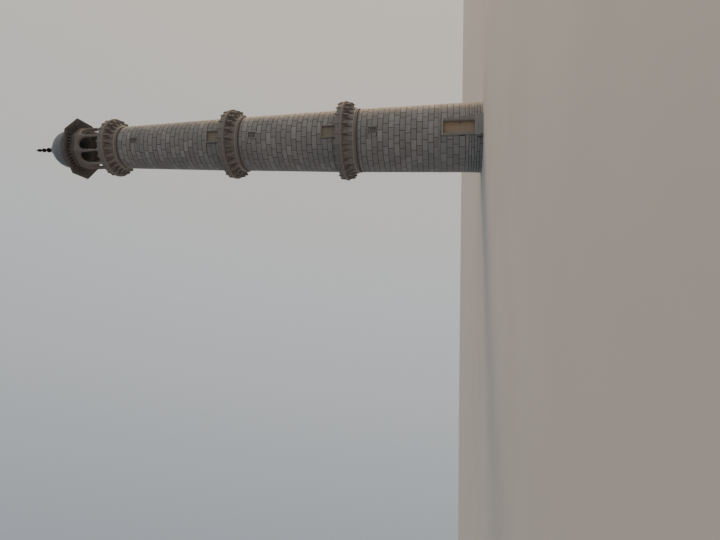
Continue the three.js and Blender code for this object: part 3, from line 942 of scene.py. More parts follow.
class MINARET_OT_doors(bpy.types.Operator):
    """Build the ground door and its stonework, and the two fixed balcony doors"""
    bl_idname = "minaret.doors"
    bl_label = "Doors"

    def execute(self, context):
        sizes = context.scene.minaret_doors
        self.ground_leaf(sizes)
        self.ground_surround()
        self.doorstep()
        for number in (1, 2):
            self.balcony_door(number, sizes)
        return {"FINISHED"}

    def ground_leaf(self, sizes):
        low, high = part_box("ground_door_leaf")
        axis = Vector(frame["joints"][0]["pos_m"])
        pin = real(0.03)
        pin_length = real(0.09)
        heel = (high.y - low.y) / 2
        bottom, top = low.z + pin_length + 0.006, high.z - pin_length - 0.006
        piece = Piece("ground_door_boards")
        boards_low = Vector((axis.x + heel * 0.4, low.y, bottom))
        boarded_leaf(piece, boards_low, Vector((high.x, high.y, top)), sizes, (0.14, 0.5, 0.86))
        post = turned([(0.0, low.z), (pin, low.z), (pin, bottom), (heel, bottom), (heel, top), (pin, top),
                       (pin, high.z), (0.0, high.z)], 24)
        piece.add(post, Matrix.Translation((axis.x, axis.y, 0.0)))
        ring = turned(bead(real(0.055), -real(0.012), real(0.012), real(0.012), 6)
                      + bead(real(0.055), real(0.012), -real(0.012), -real(0.012), 6)[1:-1], 20, closed=True)
        spot = Matrix.Translation((high.x - real(0.16), low.y + 0.004, bottom + (top - bottom) * 0.47))
        piece.add(ring, spot @ Matrix.Rotation(math.radians(82), 4, "X"), IRON)
        piece.finish("door_boards", ["boards", "iron"], ["ground_door_leaf"], "ground_door")

    def ground_surround(self):
        low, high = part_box("door_surround")
        leaf_low, leaf_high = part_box("ground_door_leaf")
        opening = real(0.48)
        opening_top = real(3.04)
        threshold = real(0.63)
        jamb_back = leaf_low.y - 0.006
        step = real(0.025)
        margin = high.x - real(0.15)
        outline = [(opening, jamb_back), (opening, low.y + 2 * step), (opening + step, low.y + 2 * step),
                   (opening + step, low.y + step), (opening + 2.5 * step, low.y + step),
                   (opening + 2.5 * step, low.y), (margin, low.y), (margin, jamb_back)]
        border_outline = [(margin, low.y + real(0.012)), (high.x, low.y + real(0.012)), (high.x, jamb_back),
                          (margin, jamb_back)]
        lintel, cap = opening_top + step, high.z - real(0.035)
        piece = Piece("door_architrave")
        for side in (1, -1):
            for line, finish in ((outline, 0), (border_outline, 1)):
                sided = [(side * x, y) for x, y in line]
                jamb = plate(sided, threshold, lintel, WORN_EDGE, upright=True)
                piece.add(jamb, finish=finish, lightness=0.9)
        piece.add(cuboid((low.x, low.y, lintel), (high.x, jamb_back, cap), HEAVY_EDGE))
        piece.add(cuboid((low.x, low.y + step, opening_top), (high.x, high.y, lintel), FINE_EDGE))
        piece.add(cuboid((low.x, jamb_back, lintel), (high.x, leaf_high.y + real(0.12), high.z)))
        piece.add(cuboid((low.x, low.y, cap), (high.x, jamb_back, high.z), HEAVY_EDGE, 2))
        # the sill's back end runs under the round floor, so its top lies a little lower
        piece.add(cuboid(low, (high.x, high.y, threshold - 0.0005), HEAVY_EDGE))
        piece.finish("pale_stone", ["pale", "carved"], ["door_surround"])

    def doorstep(self):
        low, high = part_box("doorstep")
        rise, tread, count = real(0.21), real(0.3), 2
        slab, nosing = real(0.06), real(0.025)
        piece = Piece("doorstep_slabs")
        for i in range(count):
            front = low.y + i * tread
            top = (i + 1) * rise
            piece.add(cuboid((low.x + nosing, front + nosing, i * rise),
                             (high.x - nosing, -real(2.5), top - slab), WORN_EDGE))
            piece.add(cuboid((low.x, front, top - slab), (high.x, -real(2.5), top), HEAVY_EDGE, 2))
        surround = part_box("door_surround")[1].x
        piece.add(cuboid((-surround, -real(2.94), 0.0), (surround, -real(1.7), high.z), WORN_EDGE))
        piece.finish("pale_stone", ["pale"], ["doorstep"])

    def balcony_door(self, number, sizes):
        """A brown-grey frame that stands no prouder than its hood, and greyed boards in it."""
        low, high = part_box(f"balcony_{number}_door_frame")
        leaf_low, leaf_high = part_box(f"balcony_{number}_door")
        jamb = high.x - leaf_high.x
        head = high.z - jamb
        rebate = real(0.03)
        piece = Piece(f"balcony_{number}_door_architrave")
        for side in (1, -1):
            outer, inner = side * high.x, side * (high.x - jamb)
            outline = [(inner, high.y), (inner, low.y + rebate), (inner + side * rebate, low.y + rebate),
                       (inner + side * rebate, low.y), (outer, low.y), (outer, high.y)]
            piece.add(plate(outline, low.z, head, WORN_EDGE, upright=True))
        piece.add(cuboid((low.x, low.y, head), (high.x, high.y, high.z), HEAVY_EDGE))
        piece.add(cuboid((low.x + rebate, low.y + rebate, head - rebate),
                         (high.x - rebate, high.y, head), FINE_EDGE))
        hood = real(0.06)
        hood_low = (low.x, low.y - real(0.03), high.z - hood)
        piece.add(cuboid(hood_low, (high.x, low.y + real(0.05), high.z), HEAVY_EDGE, 2), finish=1)
        piece.finish("pale_stone", ["carved", "pale"], [f"balcony_{number}_door_frame"])
        leaf = Piece(f"balcony_{number}_door_boards")
        boarded_leaf(leaf, leaf_low, leaf_high, sizes, (0.15, 0.52, 0.88))
        leaf.finish("door_boards", ["old_boards", "iron"], [f"balcony_{number}_door"])


class MINARET_OT_windows(bpy.types.Operator):
    """Edge the six windows with dressed stone and set a stone grille in each"""
    bl_idname = "minaret.windows"
    bl_label = "Windows"

    def execute(self, context):
        sizes = context.scene.minaret_doors
        edging, bar = sizes.window_frame, sizes.window_bar
        for number, storey in enumerate(STOREYS, 1):
            sill, head = storey.sill, storey.sill + WINDOW_HEIGHT
            face = -storey.radius(sill) * math.cos(WINDOW_HALF / storey.radius(sill)) - real(0.02)
            back = face + real(0.16)
            half, outer = WINDOW_HALF, WINDOW_HALF + edging
            piece = Piece(f"window_{number}_edging")
            parts = [
                cuboid((-outer, face, sill), (-half, back, head), WORN_EDGE),
                cuboid((half, face, sill), (outer, back, head), WORN_EDGE),
                cuboid((-outer, face, head), (outer, back, head + edging), WORN_EDGE),
                cuboid((-outer, face - real(0.02), sill - edging), (outer, back, sill), WORN_EDGE),
            ]
            grille = face + real(0.05)
            for i in range(1, GRILLE_COLUMNS):
                x = -half + 2 * half * i / GRILLE_COLUMNS
                parts.append(cuboid((x - bar / 2, grille, sill), (x + bar / 2, grille + bar, head)))
            for i in range(1, GRILLE_ROWS):
                z = sill + (head - sill) * i / GRILLE_ROWS
                parts.append(cuboid((-half, grille, z - bar / 2), (half, grille + bar, z + bar / 2)))
            for part in parts:
                piece.add(part)
                piece.add(part, Matrix.Rotation(math.pi, 4, "Z"))
            piece.finish("tower_stone", ["blocks"])
        return {"FINISHED"}


# Balconies

BRACKET_PHASES = (0.6, 0.65, 0.75)
BRACKET_TIPS = (0.33, 0.15, 0.25)
NECK_HEIGHT = real(0.42)
PARAPET_THICK = real(0.13)
PARAPET_INSET = real(0.1)
CAP_RISE = real(0.17)
RING_FINISHES = ["carved", "eave", "pale", "browned", "blocks"]


class Balcony:
    """Heights and radii of one balcony."""

    def __init__(self, number):
        self.number = number
        foot_box, floor_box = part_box(f"balcony_{number}_brackets"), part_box(f"balcony_{number}_floor")
        rail_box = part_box(f"balcony_{number}_parapet")
        self.foot = foot_box[0].z
        self.floor, self.top = floor_box[0].z, floor_box[1].z
        self.slab = floor_box[1].x - 0.0002
        self.neck = rim(f"balcony_{number}_brackets", self.foot)
        self.rail_foot, self.cap_top = rail_box[0].z, rail_box[1].z
        self.phase = BRACKET_PHASES[number - 1]
        self.tip = BRACKET_TIPS[number - 1]
        self.reach = self.slab - PARAPET_INSET - self.neck

    def on_bracket(self, run, rise):
        """A point of a bracket, as shares of its reach from the neck and of its height to the slab."""
        start = self.foot + NECK_HEIGHT
        return self.neck + self.reach * run, start + (self.floor - start) * rise


def neck_section(balcony):
    """Section of the neck ring, the cornice and the coved drum behind the brackets, closed on the inside."""
    neck, foot = balcony.neck, balcony.foot
    inner = neck - real(0.25)

    def at(proud, rise):
        return neck + real(proud), foot + real(rise)

    low_bead = bead(neck, foot, foot + real(0.035), real(0.02))
    groove = [at(-0.04, 0.04), at(-0.04, 0.128)]
    high_bead = bead(neck + real(0.02), foot + real(0.14), foot + real(0.19), real(0.04))
    cornice = [at(0.02, 0.195), at(0.02, 0.235), *cyma(at(0.015, 0.24), at(0.05, 0.285), 3), at(0.03, 0.29),
               at(0.03, 0.33), *cyma(at(0.035, 0.335), at(0.08, 0.375), 3), at(0.08, 0.42)]
    cove = bezier(balcony.on_bracket(0.1, 0.02), balcony.on_bracket(0.1, 0.55),
                  balcony.on_bracket(0.16, 0.8), balcony.on_bracket(0.42, 1.0), 6)
    return [(inner, foot), *low_bead, *groove, *high_bead, *cornice, *cove, (inner, balcony.floor)]


def bracket_part(balcony, sizes):
    """One carved bracket, drawn to the door side: an arm that narrows outwards, with sunk cheeks, a
    rounded underside and a bud that hangs near its end."""
    at, tip = balcony.on_bracket, balcony.tip
    under = smooth_line([at(0.02, 0.03), at(0.16, 0.03), at(0.28, tip * 0.5 + 0.08), at(0.46, tip + 0.17),
                         at(0.62, tip + 0.19), at(0.74, tip + 0.12), at(0.9, tip + 0.13),
                         at(0.96, (tip + 1) / 2)], 3)
    outline = [at(-0.12, 0.03), *under, at(0.985, 0.88), at(1.0, 0.9), at(1.0, 1.0), at(-0.12, 1.0)]
    half = sizes.bracket_root / 2
    # the outline is drawn along +X and then turned to the door side
    arm = plate(outline, -half, half)
    for side in (1, -1):
        sink_panels(arm, (0, side, 0), real(0.03), sizes.carving)
    rims = [e for e in sharp_edges(arm, 60) if all(abs(abs(v.co.y) - half) < 1e-5 for v in e.verts)]
    soften(arm, rims, 0.006, 2)
    narrowing = 1 - sizes.bracket_tip / sizes.bracket_root
    for vert in arm.verts:
        share = (vert.co.x - balcony.neck) / balcony.reach
        vert.co.y *= 1 - narrowing * max(0.0, min(1.0, share)) ** 0.8
    whole = Piece("bracket")
    whole.add(arm)
    run, up = at(0.83, tip)
    bud = turned(points_from(0.0, up, (0.0, 0.0), (0.02, 0.02), (0.05, 0.06), (0.055, 0.09),
                             (0.035, 0.12), (0.0, 0.15)), 8)
    whole.add(bud, Matrix.Translation((run, 0.0, 0.0)), own_tone=False)
    run, up = at(0.14, 0.03)
    knob = turned(points_from(0.0, up, (0.0, -0.05), (0.035, -0.03), (0.04, 0.0), (0.0, 0.04)), 8)
    whole.add(knob, Matrix.Translation((run, 0.0, 0.0)), own_tone=False)
    to_door_side(whole.bm)
    return whole.bm


def bracket_arch(balcony, sizes):
    """The small pointed arch that joins two brackets under the slab, centred between them."""
    run = 0.6
    step = TURN / sizes.brackets
    radius, top = balcony.on_bracket(run, 1.0)
    width = sizes.bracket_root + (sizes.bracket_tip - sizes.bracket_root) * run
    half = radius * math.sin(step / 2) - width / 2 + 0.006
    low = top - real(0.2)
    curve = smooth_line([(-half, low), (-half * 0.85, low + real(0.07)), (-half * 0.45, low + real(0.12)),
                         (0.0, low + real(0.16))], 3)
    outline = [(-half, top), *with_mirror(curve), (half, top)]
    distance = radius * math.cos(step / 2)
    return plate(outline, -distance - real(0.03), -distance + real(0.03))


def parapet_bay(balcony, sizes):
    """One straight bay of parapet between two posts: base, coping, and a slab with a bordered panel."""
    step = TURN / sizes.brackets
    centre = balcony.slab - PARAPET_INSET - PARAPET_THICK / 2
    middle, half = centre * math.cos(step / 2), centre * math.sin(step / 2)
    bottom, top = balcony.rail_foot, balcony.cap_top - CAP_RISE
    front, back = -middle - PARAPET_THICK / 2, -middle + PARAPET_THICK / 2
    low, high = bottom + sizes.rail, top - sizes.rail
    bay = Piece("bay")
    bay.add(cuboid((-half, front, bottom), (half, back, low), WORN_EDGE))
    bay.add(cuboid((-half, front, high + sizes.rail * 0.3), (half, back, top), 0.005, 2))
    slab = PARAPET_THICK * 0.36
    bay.add(cuboid((-half, -middle - slab, low - 0.002), (half, -middle + slab, high + sizes.rail * 0.3)))
    edge = half - sizes.post_width / 2 - real(0.05)
    for face, out in ((-middle - slab, -1), (-middle + slab, 1)):
        near, far = sorted((face, face + out * real(0.014)))
        for x0, x1, z0, z1 in border(edge, low + real(0.025), high - real(0.01), sizes.fillet):
            bay.add(cuboid((x0, near, z0), (x1, far, z1)), own_tone=False)
        rosette = turned([(0.0, -0.004), (real(0.05), -0.004), (real(0.045), 0.003), (real(0.02), 0.001),
                          (0.0, 0.005)], 10)
        spot = Matrix.Translation((0.0, face, (low + high) / 2))
        bay.add(rosette, spot @ Matrix.Rotation(-out * math.pi / 2, 4, "X"), own_tone=False)
    return bay.bm


def border(half, low, high, width):
    """The four strips of a rectangular border, as (left, right, low, high)."""
    return [(-half, half, low, low + width), (-half, half, high - width, high),
            (-half, -half + width, low + width, high - width),
            (half - width, half, low + width, high - width)]


def parapet_post(balcony, sizes):
    """A square post with sunk faces, a moulded head and a bud on top."""
    middle = balcony.slab - PARAPET_INSET - PARAPET_THICK / 2
    half, deep = sizes.post_width / 2, PARAPET_THICK / 2 + real(0.03)
    shoulder = balcony.cap_top - real(0.14)
    post = Piece("post")
    shaft = cuboid((-half, -middle - deep, balcony.rail_foot),
                   (half, -middle + deep, shoulder - real(0.03)), WORN_EDGE)
    for side in (1, -1):
        sink_panels(shaft, (0, side, 0), real(0.03), sizes.carving * 0.6)
    post.add(shaft)
    head = cuboid((-half - real(0.012), -middle - deep - real(0.004), shoulder - real(0.03)),
                  (half + real(0.012), -middle + deep + real(0.004), shoulder), WORN_EDGE)
    post.add(head, own_tone=False)
    bud = turned(points_from(0.0, shoulder, (0.0, -0.005), (0.05, 0.0), (0.035, 0.02), (0.065, 0.055),
                             (0.05, 0.09), (0.015, 0.125), (0.0, 0.139)), 10)
    post.add(bud, Matrix.Translation((0.0, -middle, 0.0)), own_tone=False)
    return post.bm


class MINARET_OT_balconies(bpy.types.Operator):
    """Build the three bracket rings, their slabs and their parapets"""
    bl_idname = "minaret.balconies"
    bl_label = "Balconies"

    def execute(self, context):
        sizes = context.scene.minaret_balcony
        for number in range(1, STOREY_COUNT + 1):
            balcony = Balcony(number)
            self.bracket_ring(balcony, sizes)
            self.slab(balcony)
            self.parapet(balcony, sizes)
        return {"FINISHED"}

    def bracket_ring(self, balcony, sizes):
        piece = Piece(f"balcony_{balcony.number}_corbels")
        piece.add(turned(neck_section(balcony), closed=True))
        foot = balcony.foot
        # the neck ring's groove takes the dark eave stone: painted shade in the groove
        bands = (("eave", foot + real(0.036), foot + real(0.135)),
                 ("pale", foot + real(0.33), foot + real(0.42)),
                 # the cove behind the brackets takes the paler block marble: painted light lifting the shade
                 # between the brackets
                 ("blocks", foot + real(0.44), balcony.floor - real(0.02)))
        for finish, low, high in bands:
            self.retint(piece, low, high, RING_FINISHES.index(finish))
        # the arms take the darker browned stone: soot, and painted shade under the slab
        browned = RING_FINISHES.index("browned")
        piece.add_round(bracket_part(balcony, sizes), sizes.brackets, balcony.phase, browned)
        piece.add_round(bracket_arch(balcony, sizes), sizes.brackets, balcony.phase + 0.5)
        piece.finish("balcony_stone", RING_FINISHES, [f"balcony_{balcony.number}_brackets"])

    def retint(self, piece, low, high, finish):
        """Give the faces between two heights another finish."""
        for face in piece.bm.faces:
            if low < face.calc_center_median().z < high:
                face.material_index = finish

    def slab(self, balcony):
        low, high, edge = balcony.floor, balcony.top, balcony.slab
        lip = low + real(0.07)
        cove = bezier(*points_from(edge, low, (-0.17, 0.01), (-0.13, 0.01), (-0.05, 0.03)),
                      (edge - real(0.03), lip - real(0.01)), 5)
        section = [(0.0, low), (edge - real(0.18), low), *cove,
                   *points_from(edge, lip, (-0.004, 0.0), (0.0, 0.01)),
                   *points_from(edge, high, (0.0, -0.012), (-0.012, 0.0)), (0.0, high)]
        piece = Piece(f"balcony_{balcony.number}_slab")
        piece.add(turned(section))
        if balcony.number > 1:
            # seen from far below, the upper slabs show more of their underside, which takes the darker
            # browned stone: soot, and painted shade under the lip
            self.retint(piece, low - real(0.01), lip - real(0.01), 1)
        piece.finish("balcony_stone", ["carved", "browned"], [f"balcony_{balcony.number}_floor"])

    def parapet(self, balcony, sizes):
        piece = Piece(f"balcony_{balcony.number}_railing")
        piece.add_round(parapet_bay(balcony, sizes), sizes.brackets, balcony.phase + 0.5, lightness=0.9)
        piece.add_round(parapet_post(balcony, sizes), sizes.brackets, balcony.phase, lightness=0.9)
        piece.finish("balcony_stone", ["carved"], [f"balcony_{balcony.number}_parapet"])


# Pavilion and dome

PAVILION_SIDES = 8
HALF_SIDE = math.pi / PAVILION_SIDES


def arch_curve(half, low, rise):
    """A round-shouldered arch with a small point, from its right foot to its left foot."""
    shape = ((1.0, 0.0), (1.0, 0.38), (0.94, 0.58), (0.77, 0.77), (0.48, 0.91), (0.18, 0.975), (0.0, 1.0))
    return with_mirror(smooth_line([(half * across, low + rise * up) for across, up in shape], 3))


class MINARET_OT_pavilion(bpy.types.Operator):
    """Build the pavilion's columns, arches and eave"""
    bl_idname = "minaret.pavilion"
    bl_label = "Pavilion"

    def execute(self, context):
        sizes = context.scene.minaret_pavilion
        for number in range(1, PAVILION_SIDES + 1):
            self.column(number)
        self.arcade(sizes)
        self.eave(sizes)
        return {"FINISHED"}

    def column(self, number):
        node = f"pavilion_column_{number}"
        low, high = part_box(node)
        middle = (low + high) / 2
        azimuth = (number - 0.5) / PAVILION_SIDES
        base, shaft, capital, collar = real(0.155), real(0.085), real(0.14), real(0.42)
        foot, top = low.z, high.z
        piece = Piece(f"column_{number}_carved")
        radius = math.hypot(middle.x, middle.y)
        place = turn_about_axis(azimuth) @ Matrix.Translation((0.0, -radius, 0.0))
        side = base * 0.72
        piece.add(cuboid((-side, -side, foot), (side, side, foot + real(0.16)), WORN_EDGE), place)
        section = [(0.0, foot + real(0.15)),
                   *bead(side * 0.9, foot + real(0.16), foot + real(0.22), real(0.02)),
                   *cyma((side * 0.95, foot + real(0.225)), (shaft * 1.02, foot + real(0.36))),
                   *bead(shaft, foot + real(0.37), foot + real(0.4), real(0.015)),
                   (shaft, foot + collar), (shaft * 0.96, top - collar),
                   *bead(shaft, top - real(0.4), top - real(0.36), real(0.018)),
                   *cyma((shaft * 0.98, top - real(0.34)), (capital * 0.86, top - real(0.09))),
                   *bead(capital * 0.86, top - real(0.085), top - real(0.04), real(0.02)),
                   (0.0, top - real(0.03))]
        piece.add(turned(section, 16), place)
        cap = capital * 0.72
        piece.add(cuboid((-cap, -cap, top - real(0.045)), (cap, cap, top), WORN_EDGE), place)
        piece.finish("dome_stone", ["carved"], [node])

    def arcade(self, sizes):
        low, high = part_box("pavilion_arcade")
        outer = rim("pavilion_arcade", high.z)
        inner = outer - real(0.3)
        front, back = outer * math.cos(HALF_SIDE), inner * math.cos(HALF_SIDE)
        half, inner_half = outer * math.sin(HALF_SIDE), inner * math.sin(HALF_SIDE)
        arch_half = real(0.58)
        rise = real(1.1)
        inner_line = arch_curve(arch_half, low.z, rise)
        outline = [(half, low.z), *inner_line, (-half, low.z), (-half, high.z), (half, high.z)]
        wall = plate(outline, -front, -back)
        for vert in wall.verts:
            if abs(abs(vert.co.x) - half) < 1e-5 and vert.co.y > -front + 1e-4:
                vert.co.x = math.copysign(inner_half, vert.co.x)
        piece = Piece("arcade_arches")
        piece.add_round(wall, PAVILION_SIDES)
        # painted shade: the arches' inner faces take the dark eave stone
        self.paint_shade_inside(piece, 1)

        band = sizes.arch_band
        outer_line = arch_curve(arch_half + band * 0.4, low.z, rise + band)
        rim_line = [*outer_line, *reversed(inner_line)]
        piece.add_round(plate(rim_line, -front - real(0.025), -front + 0.002), PAVILION_SIDES)
        piece.add_round(plate(rim_line, -back - 0.002, -back + real(0.02)), PAVILION_SIDES)

        fillet = real(0.035)
        top = high.z - real(0.22)
        edge = half - real(0.05)
        strips = [((-edge, top - fillet), (edge, top)), ((-edge, low.z + real(0.05)), (-edge + fillet, top)),
                  ((edge - fillet, low.z + real(0.05)), (edge, top)),
                  ((-half * 0.98, high.z - real(0.04)), (half * 0.98, high.z))]
        for (x0, z0), (x1, z1) in strips:
            strip = cuboid((x0, -front - real(0.02), z0), (x1, -front + 0.002, z1), FINE_EDGE)
            piece.add_round(strip, PAVILION_SIDES)
        # the frieze right under the eave takes the dark eave stone: soot, and painted shade under the eave
        frieze = cuboid((-half * 0.98, -front - real(0.015), high.z - real(0.2)),
                        (half * 0.98, -front + 0.002, high.z - real(0.042)))
        piece.add_round(frieze, PAVILION_SIDES, finish=1)
        rosette = turned([(0.0, -0.012), (real(0.05), -0.012), (real(0.055), 0.0), (real(0.03), 0.006),
                          (real(0.025), 0.002), (0.0, 0.008)], 12)
        for side in (1, -1):
            spot = Matrix.Translation((side * arch_half * 0.8, -front, low.z + rise))
            piece.add_round(rosette, PAVILION_SIDES, place=spot @ Matrix.Rotation(math.pi / 2, 4, "X"))
        piece.finish("dome_stone", ["carved", "eave"], ["pavilion_arcade"])

    def paint_shade_inside(self, piece, finish):
        """Paint shade on the faces that look towards the tower's axis: they take the dark eave stone."""
        piece.bm.normal_update()
        for face in piece.bm.faces:
            centre = face.calc_center_median()
            if face.normal.dot(Vector((centre.x, centre.y, 0.0)).normalized()) < -0.5:
                face.material_index = finish

    def eave(self, sizes):
        low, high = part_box("pavilion_eave")
        edge = max(math.hypot(v.co.x, v.co.y) for v in NODES["pavilion_eave"].data.vertices)
        wall = rim("pavilion_eave", low.z)
        inner = wall - real(0.12)
        drop_high, lip_top, drop_low = corner_heights("pavilion_eave")[1:4]
        section = [(inner, low.z), *points_from(wall, low.z, (0.0, 0.0), (0.0, 0.06), (0.02, 0.08),
                                                (0.02, 0.12), (0.0, 0.14)), (wall, drop_low),
                   *points_from(edge, drop_high, (-0.1, 0.022), (-0.1, -0.005), (-0.02, 0.0), (0.0, 0.03)),
                   *points_from(edge, lip_top, (0.0, -0.02), (-0.03, 0.0), (-0.12, 0.045)), (inner, high.z)]
        piece = Piece("eave_slab")
        roof = turned(section, PAVILION_SIDES, closed=True, start=HALF_SIDE)
        piece.add(roof)
        piece.bm.faces.ensure_lookup_table()
        piece.bm.normal_update()
        # the faces that look up take the dome marble; the underside, the edges, the brackets and the under
        # ribs keep the dark eave stone: soot, and painted shade under the eave
        for face in piece.bm.faces:
            if face.normal.z > 0.3:
                face.material_index = 1
        # brackets under the eave stand square to each side
        wall_face = wall * math.cos(HALF_SIDE)
        slope = (drop_low - drop_high) / ((edge - real(0.02) - wall) * math.cos(HALF_SIDE))
        run_out = (edge - wall) * math.cos(HALF_SIDE)

        def under(share, drop):
            """A point below the eave's underside, at a share of the way out."""
            return wall_face + run_out * share, drop_low - slope * run_out * share - real(drop)

        scroll = smooth_line([under(-0.02, 0.34), under(0.05, 0.32), under(0.11, 0.2), under(0.22, 0.11),
                              under(0.4, 0.06), under(0.66, 0.05), under(0.86, 0.02)], 3)
        outline = [*scroll, under(0.86, -0.01), under(-0.02, -0.01)]
        half = sizes.eave_bracket_width / 2
        bracket = plate(outline, -half, half)
        to_door_side(bracket)
        spread = wall * math.sin(HALF_SIDE) * 2
        for i in range(sizes.eave_brackets):
            across = spread * ((i + 0.5) / sizes.eave_brackets - 0.5)
            piece.add_round(bracket, PAVILION_SIDES, place=Matrix.Translation((across, 0.0, 0.0)))
        # a rib on each hip, over and under the eave
        run = edge - real(0.06) - wall
        rib_half = real(0.03)
        lean = math.atan2(drop_low - drop_high, edge - real(0.02) - wall)
        under_rib = cuboid((-rib_half, -run / 2, -real(0.03)), (rib_half, run / 2, real(0.03)), WORN_EDGE)
        spot = Matrix.Translation((0.0, -(wall + run / 2), (drop_low + drop_high) / 2 + real(0.005)))
        piece.add_round(under_rib, PAVILION_SIDES, 0.5, place=spot @ Matrix.Rotation(lean, 4, "X"))
        top_run = edge - inner - real(0.1)
        top_lean = math.atan2(high.z - lip_top, edge - inner)
        hip = cuboid((-rib_half, -top_run / 2, -real(0.02)), (rib_half, top_run / 2, real(0.02)), WORN_EDGE)
        centre = Matrix.Translation((0.0, -(inner + top_run / 2 + real(0.02)), (high.z + lip_top) / 2))
        piece.add_round(hip, PAVILION_SIDES, 0.5, 1, place=centre @ Matrix.Rotation(top_lean, 4, "X"))
        piece.finish("balcony_stone", ["eave", "dome"], ["pavilion_eave"], crease=20.0)


class MINARET_OT_dome(bpy.types.Operator):
    """Turn the dome with its drum and lotus crown, and the finial"""
    bl_idname = "minaret.dome"
    bl_label = "Dome and finial"

    def execute(self, context):
        sizes = context.scene.minaret_pavilion
        self.shell(sizes)
        self.finial()
        return {"FINISHED"}

    def shell(self, sizes):
        low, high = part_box("dome")
        radius, band, drum, clear = real(1.72), real(1.8), real(1.62), real(1.36)
        drum_top, springing = real(37.2), real(37.44)
        crown_radius, crown = real(0.37), real(39.36)
        thick = real(0.22)
        outer = bezier((radius, springing), (radius, real(38.35)), (real(1.08), real(38.72)),
                       (crown_radius, crown), 28)
        section = [(clear, low.z), (drum, low.z), (drum, drum_top - real(0.12)),
                   *cyma((drum, drum_top - real(0.115)), (drum + real(0.05), drum_top - real(0.03))),
                   (band - real(0.06), drum_top),
                   *bead(band - real(0.045), drum_top + 0.002, drum_top + real(0.09), real(0.045)),
                   (band - real(0.06), drum_top + real(0.1)), (band - real(0.06), drum_top + real(0.15)),
                   *bead(band - real(0.05), drum_top + real(0.16), springing, real(0.04)),
                   (radius + real(0.01), springing + real(0.01)), *outer[1:],
                   *bead(crown_radius - real(0.01), crown + real(0.005), crown + real(0.045), real(0.03)),
                   *cyma((crown_radius - real(0.03), crown + real(0.05)),
                         (real(0.2), crown + real(0.11)), 3),
                   (real(0.16), high.z - real(0.02)), (real(0.14), high.z), (0.0, high.z)]
        inside = bezier((radius - thick, springing), (radius - thick, real(38.2)), (real(0.78), real(38.48)),
                        (crown_radius - thick / 2, crown - thick * 1.6), 12)
        section += [(0.0, inside[-1][1]), *reversed(inside), (clear, drum_top)]
        piece = Piece("dome_shell")
        piece.add(turned(section, closed=True))

        petal_half = band * math.sin(TURN / sizes.petals / 2) * 0.9
        petal_line = smooth_line([(-petal_half, 0.0), (-petal_half * 0.95, real(0.07)), (0.0, real(0.15)),
                                  (petal_half * 0.95, real(0.07)), (petal_half, 0.0)], 2)
        petal = plate(petal_line, -real(0.02), real(0.03), FINE_EDGE)
        place = Matrix.Translation((0.0, -radius + real(0.005), springing + real(0.005)))
        piece.add_round(petal, sizes.petals, place=place @ Matrix.Rotation(math.radians(-3), 4, "X"))

        leaf_radius = real(0.42)
        leaf_half = leaf_radius * math.sin(math.pi / sizes.lotus_petals) * 1.02
        left_edge = [(-leaf_half * 0.7, real(0.12)), (-leaf_half, 0.0), (-leaf_half * 0.55, -real(0.09)),
                     (0.0, -real(0.14))]
        leaf_line = smooth_line(with_mirror(left_edge), 2)
        leaf = plate(leaf_line, -real(0.02), real(0.03), FINE_EDGE)
        slope = math.radians(40)
        place = Matrix.Translation((0.0, -leaf_radius, crown - real(0.1)))
        piece.add_round(leaf, sizes.lotus_petals, place=place @ Matrix.Rotation(-slope, 4, "X"))
        # the finial's metal cup grips the crown
        for face in piece.bm.faces:
            if face.calc_center_median().z > crown + real(0.1):
                face.material_index = 1
        piece.finish("dome_stone", ["dome", "finial"], ["dome"])

    def finial(self):
        low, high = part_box("finial")

        def at(rise):
            return low.z + real(rise)

        section = [(0.0, at(0)), (real(0.13), at(0)), *cyma((real(0.125), at(0.02)), (real(0.08), at(0.14))),
                   *bead(real(0.08), at(0.16), at(0.54), real(0.15), 8), (real(0.06), at(0.58)),
                   *bead(real(0.06), at(0.6), at(0.66), real(0.03)), (real(0.05), at(0.69)),
                   *bead(real(0.06), at(0.7), at(1.03), real(0.135), 8), (real(0.045), at(1.06)),
                   *bead(real(0.04), at(1.09), at(1.58), real(0.1), 10), (real(0.035), at(1.63)),
                   (0.0, high.z)]
        piece = Piece("finial_knobs")
        piece.add(turned(section, 32))
        piece.finish("dark_metal", ["finial"], ["finial"])


# Walls and floor that stay as they are in the frame, and the stage

KEY_STRENGTH, KEY_COLOUR = 2.2, "#ffd9ae"
KEY_SOFTNESS, KEY_DISTANCE = 24.0, 40.0  # degrees and metres
GLOW_STRENGTH = 0.8
# The surrounding light's colours, from its dim side at 0 to its bright side at 1
GLOW_STOPS = ((0.0, "#555b64"), (0.38, "#9ba4b0"), (0.7, "#dfe2e4"), (1.0, "#fff0dc"))


class MINARET_OT_bare_walls(bpy.types.Operator):
    """Give the walls behind the blocks the joints' dark stone, and the ground floor its paving stone"""
    bl_idname = "minaret.bare_walls"
    bl_label = "Walls behind the blocks"

    def execute(self, context):
        walls = [f"foot_wall_{side}" for side in SIDES[1:]]
        walls += [f"storey_{n}_wall_{side}" for n in range(1, STOREY_COUNT + 1) for side in SIDES]
        for name in walls:
            self.dress(name, "joint")
        self.dress("ground_floor", "pale")
        return {"FINISHED"}

    def dress(self, name, finish):
        mesh = NODES[name].data
        mesh.materials.clear()
        mesh.materials.append(FINISHES[finish]())


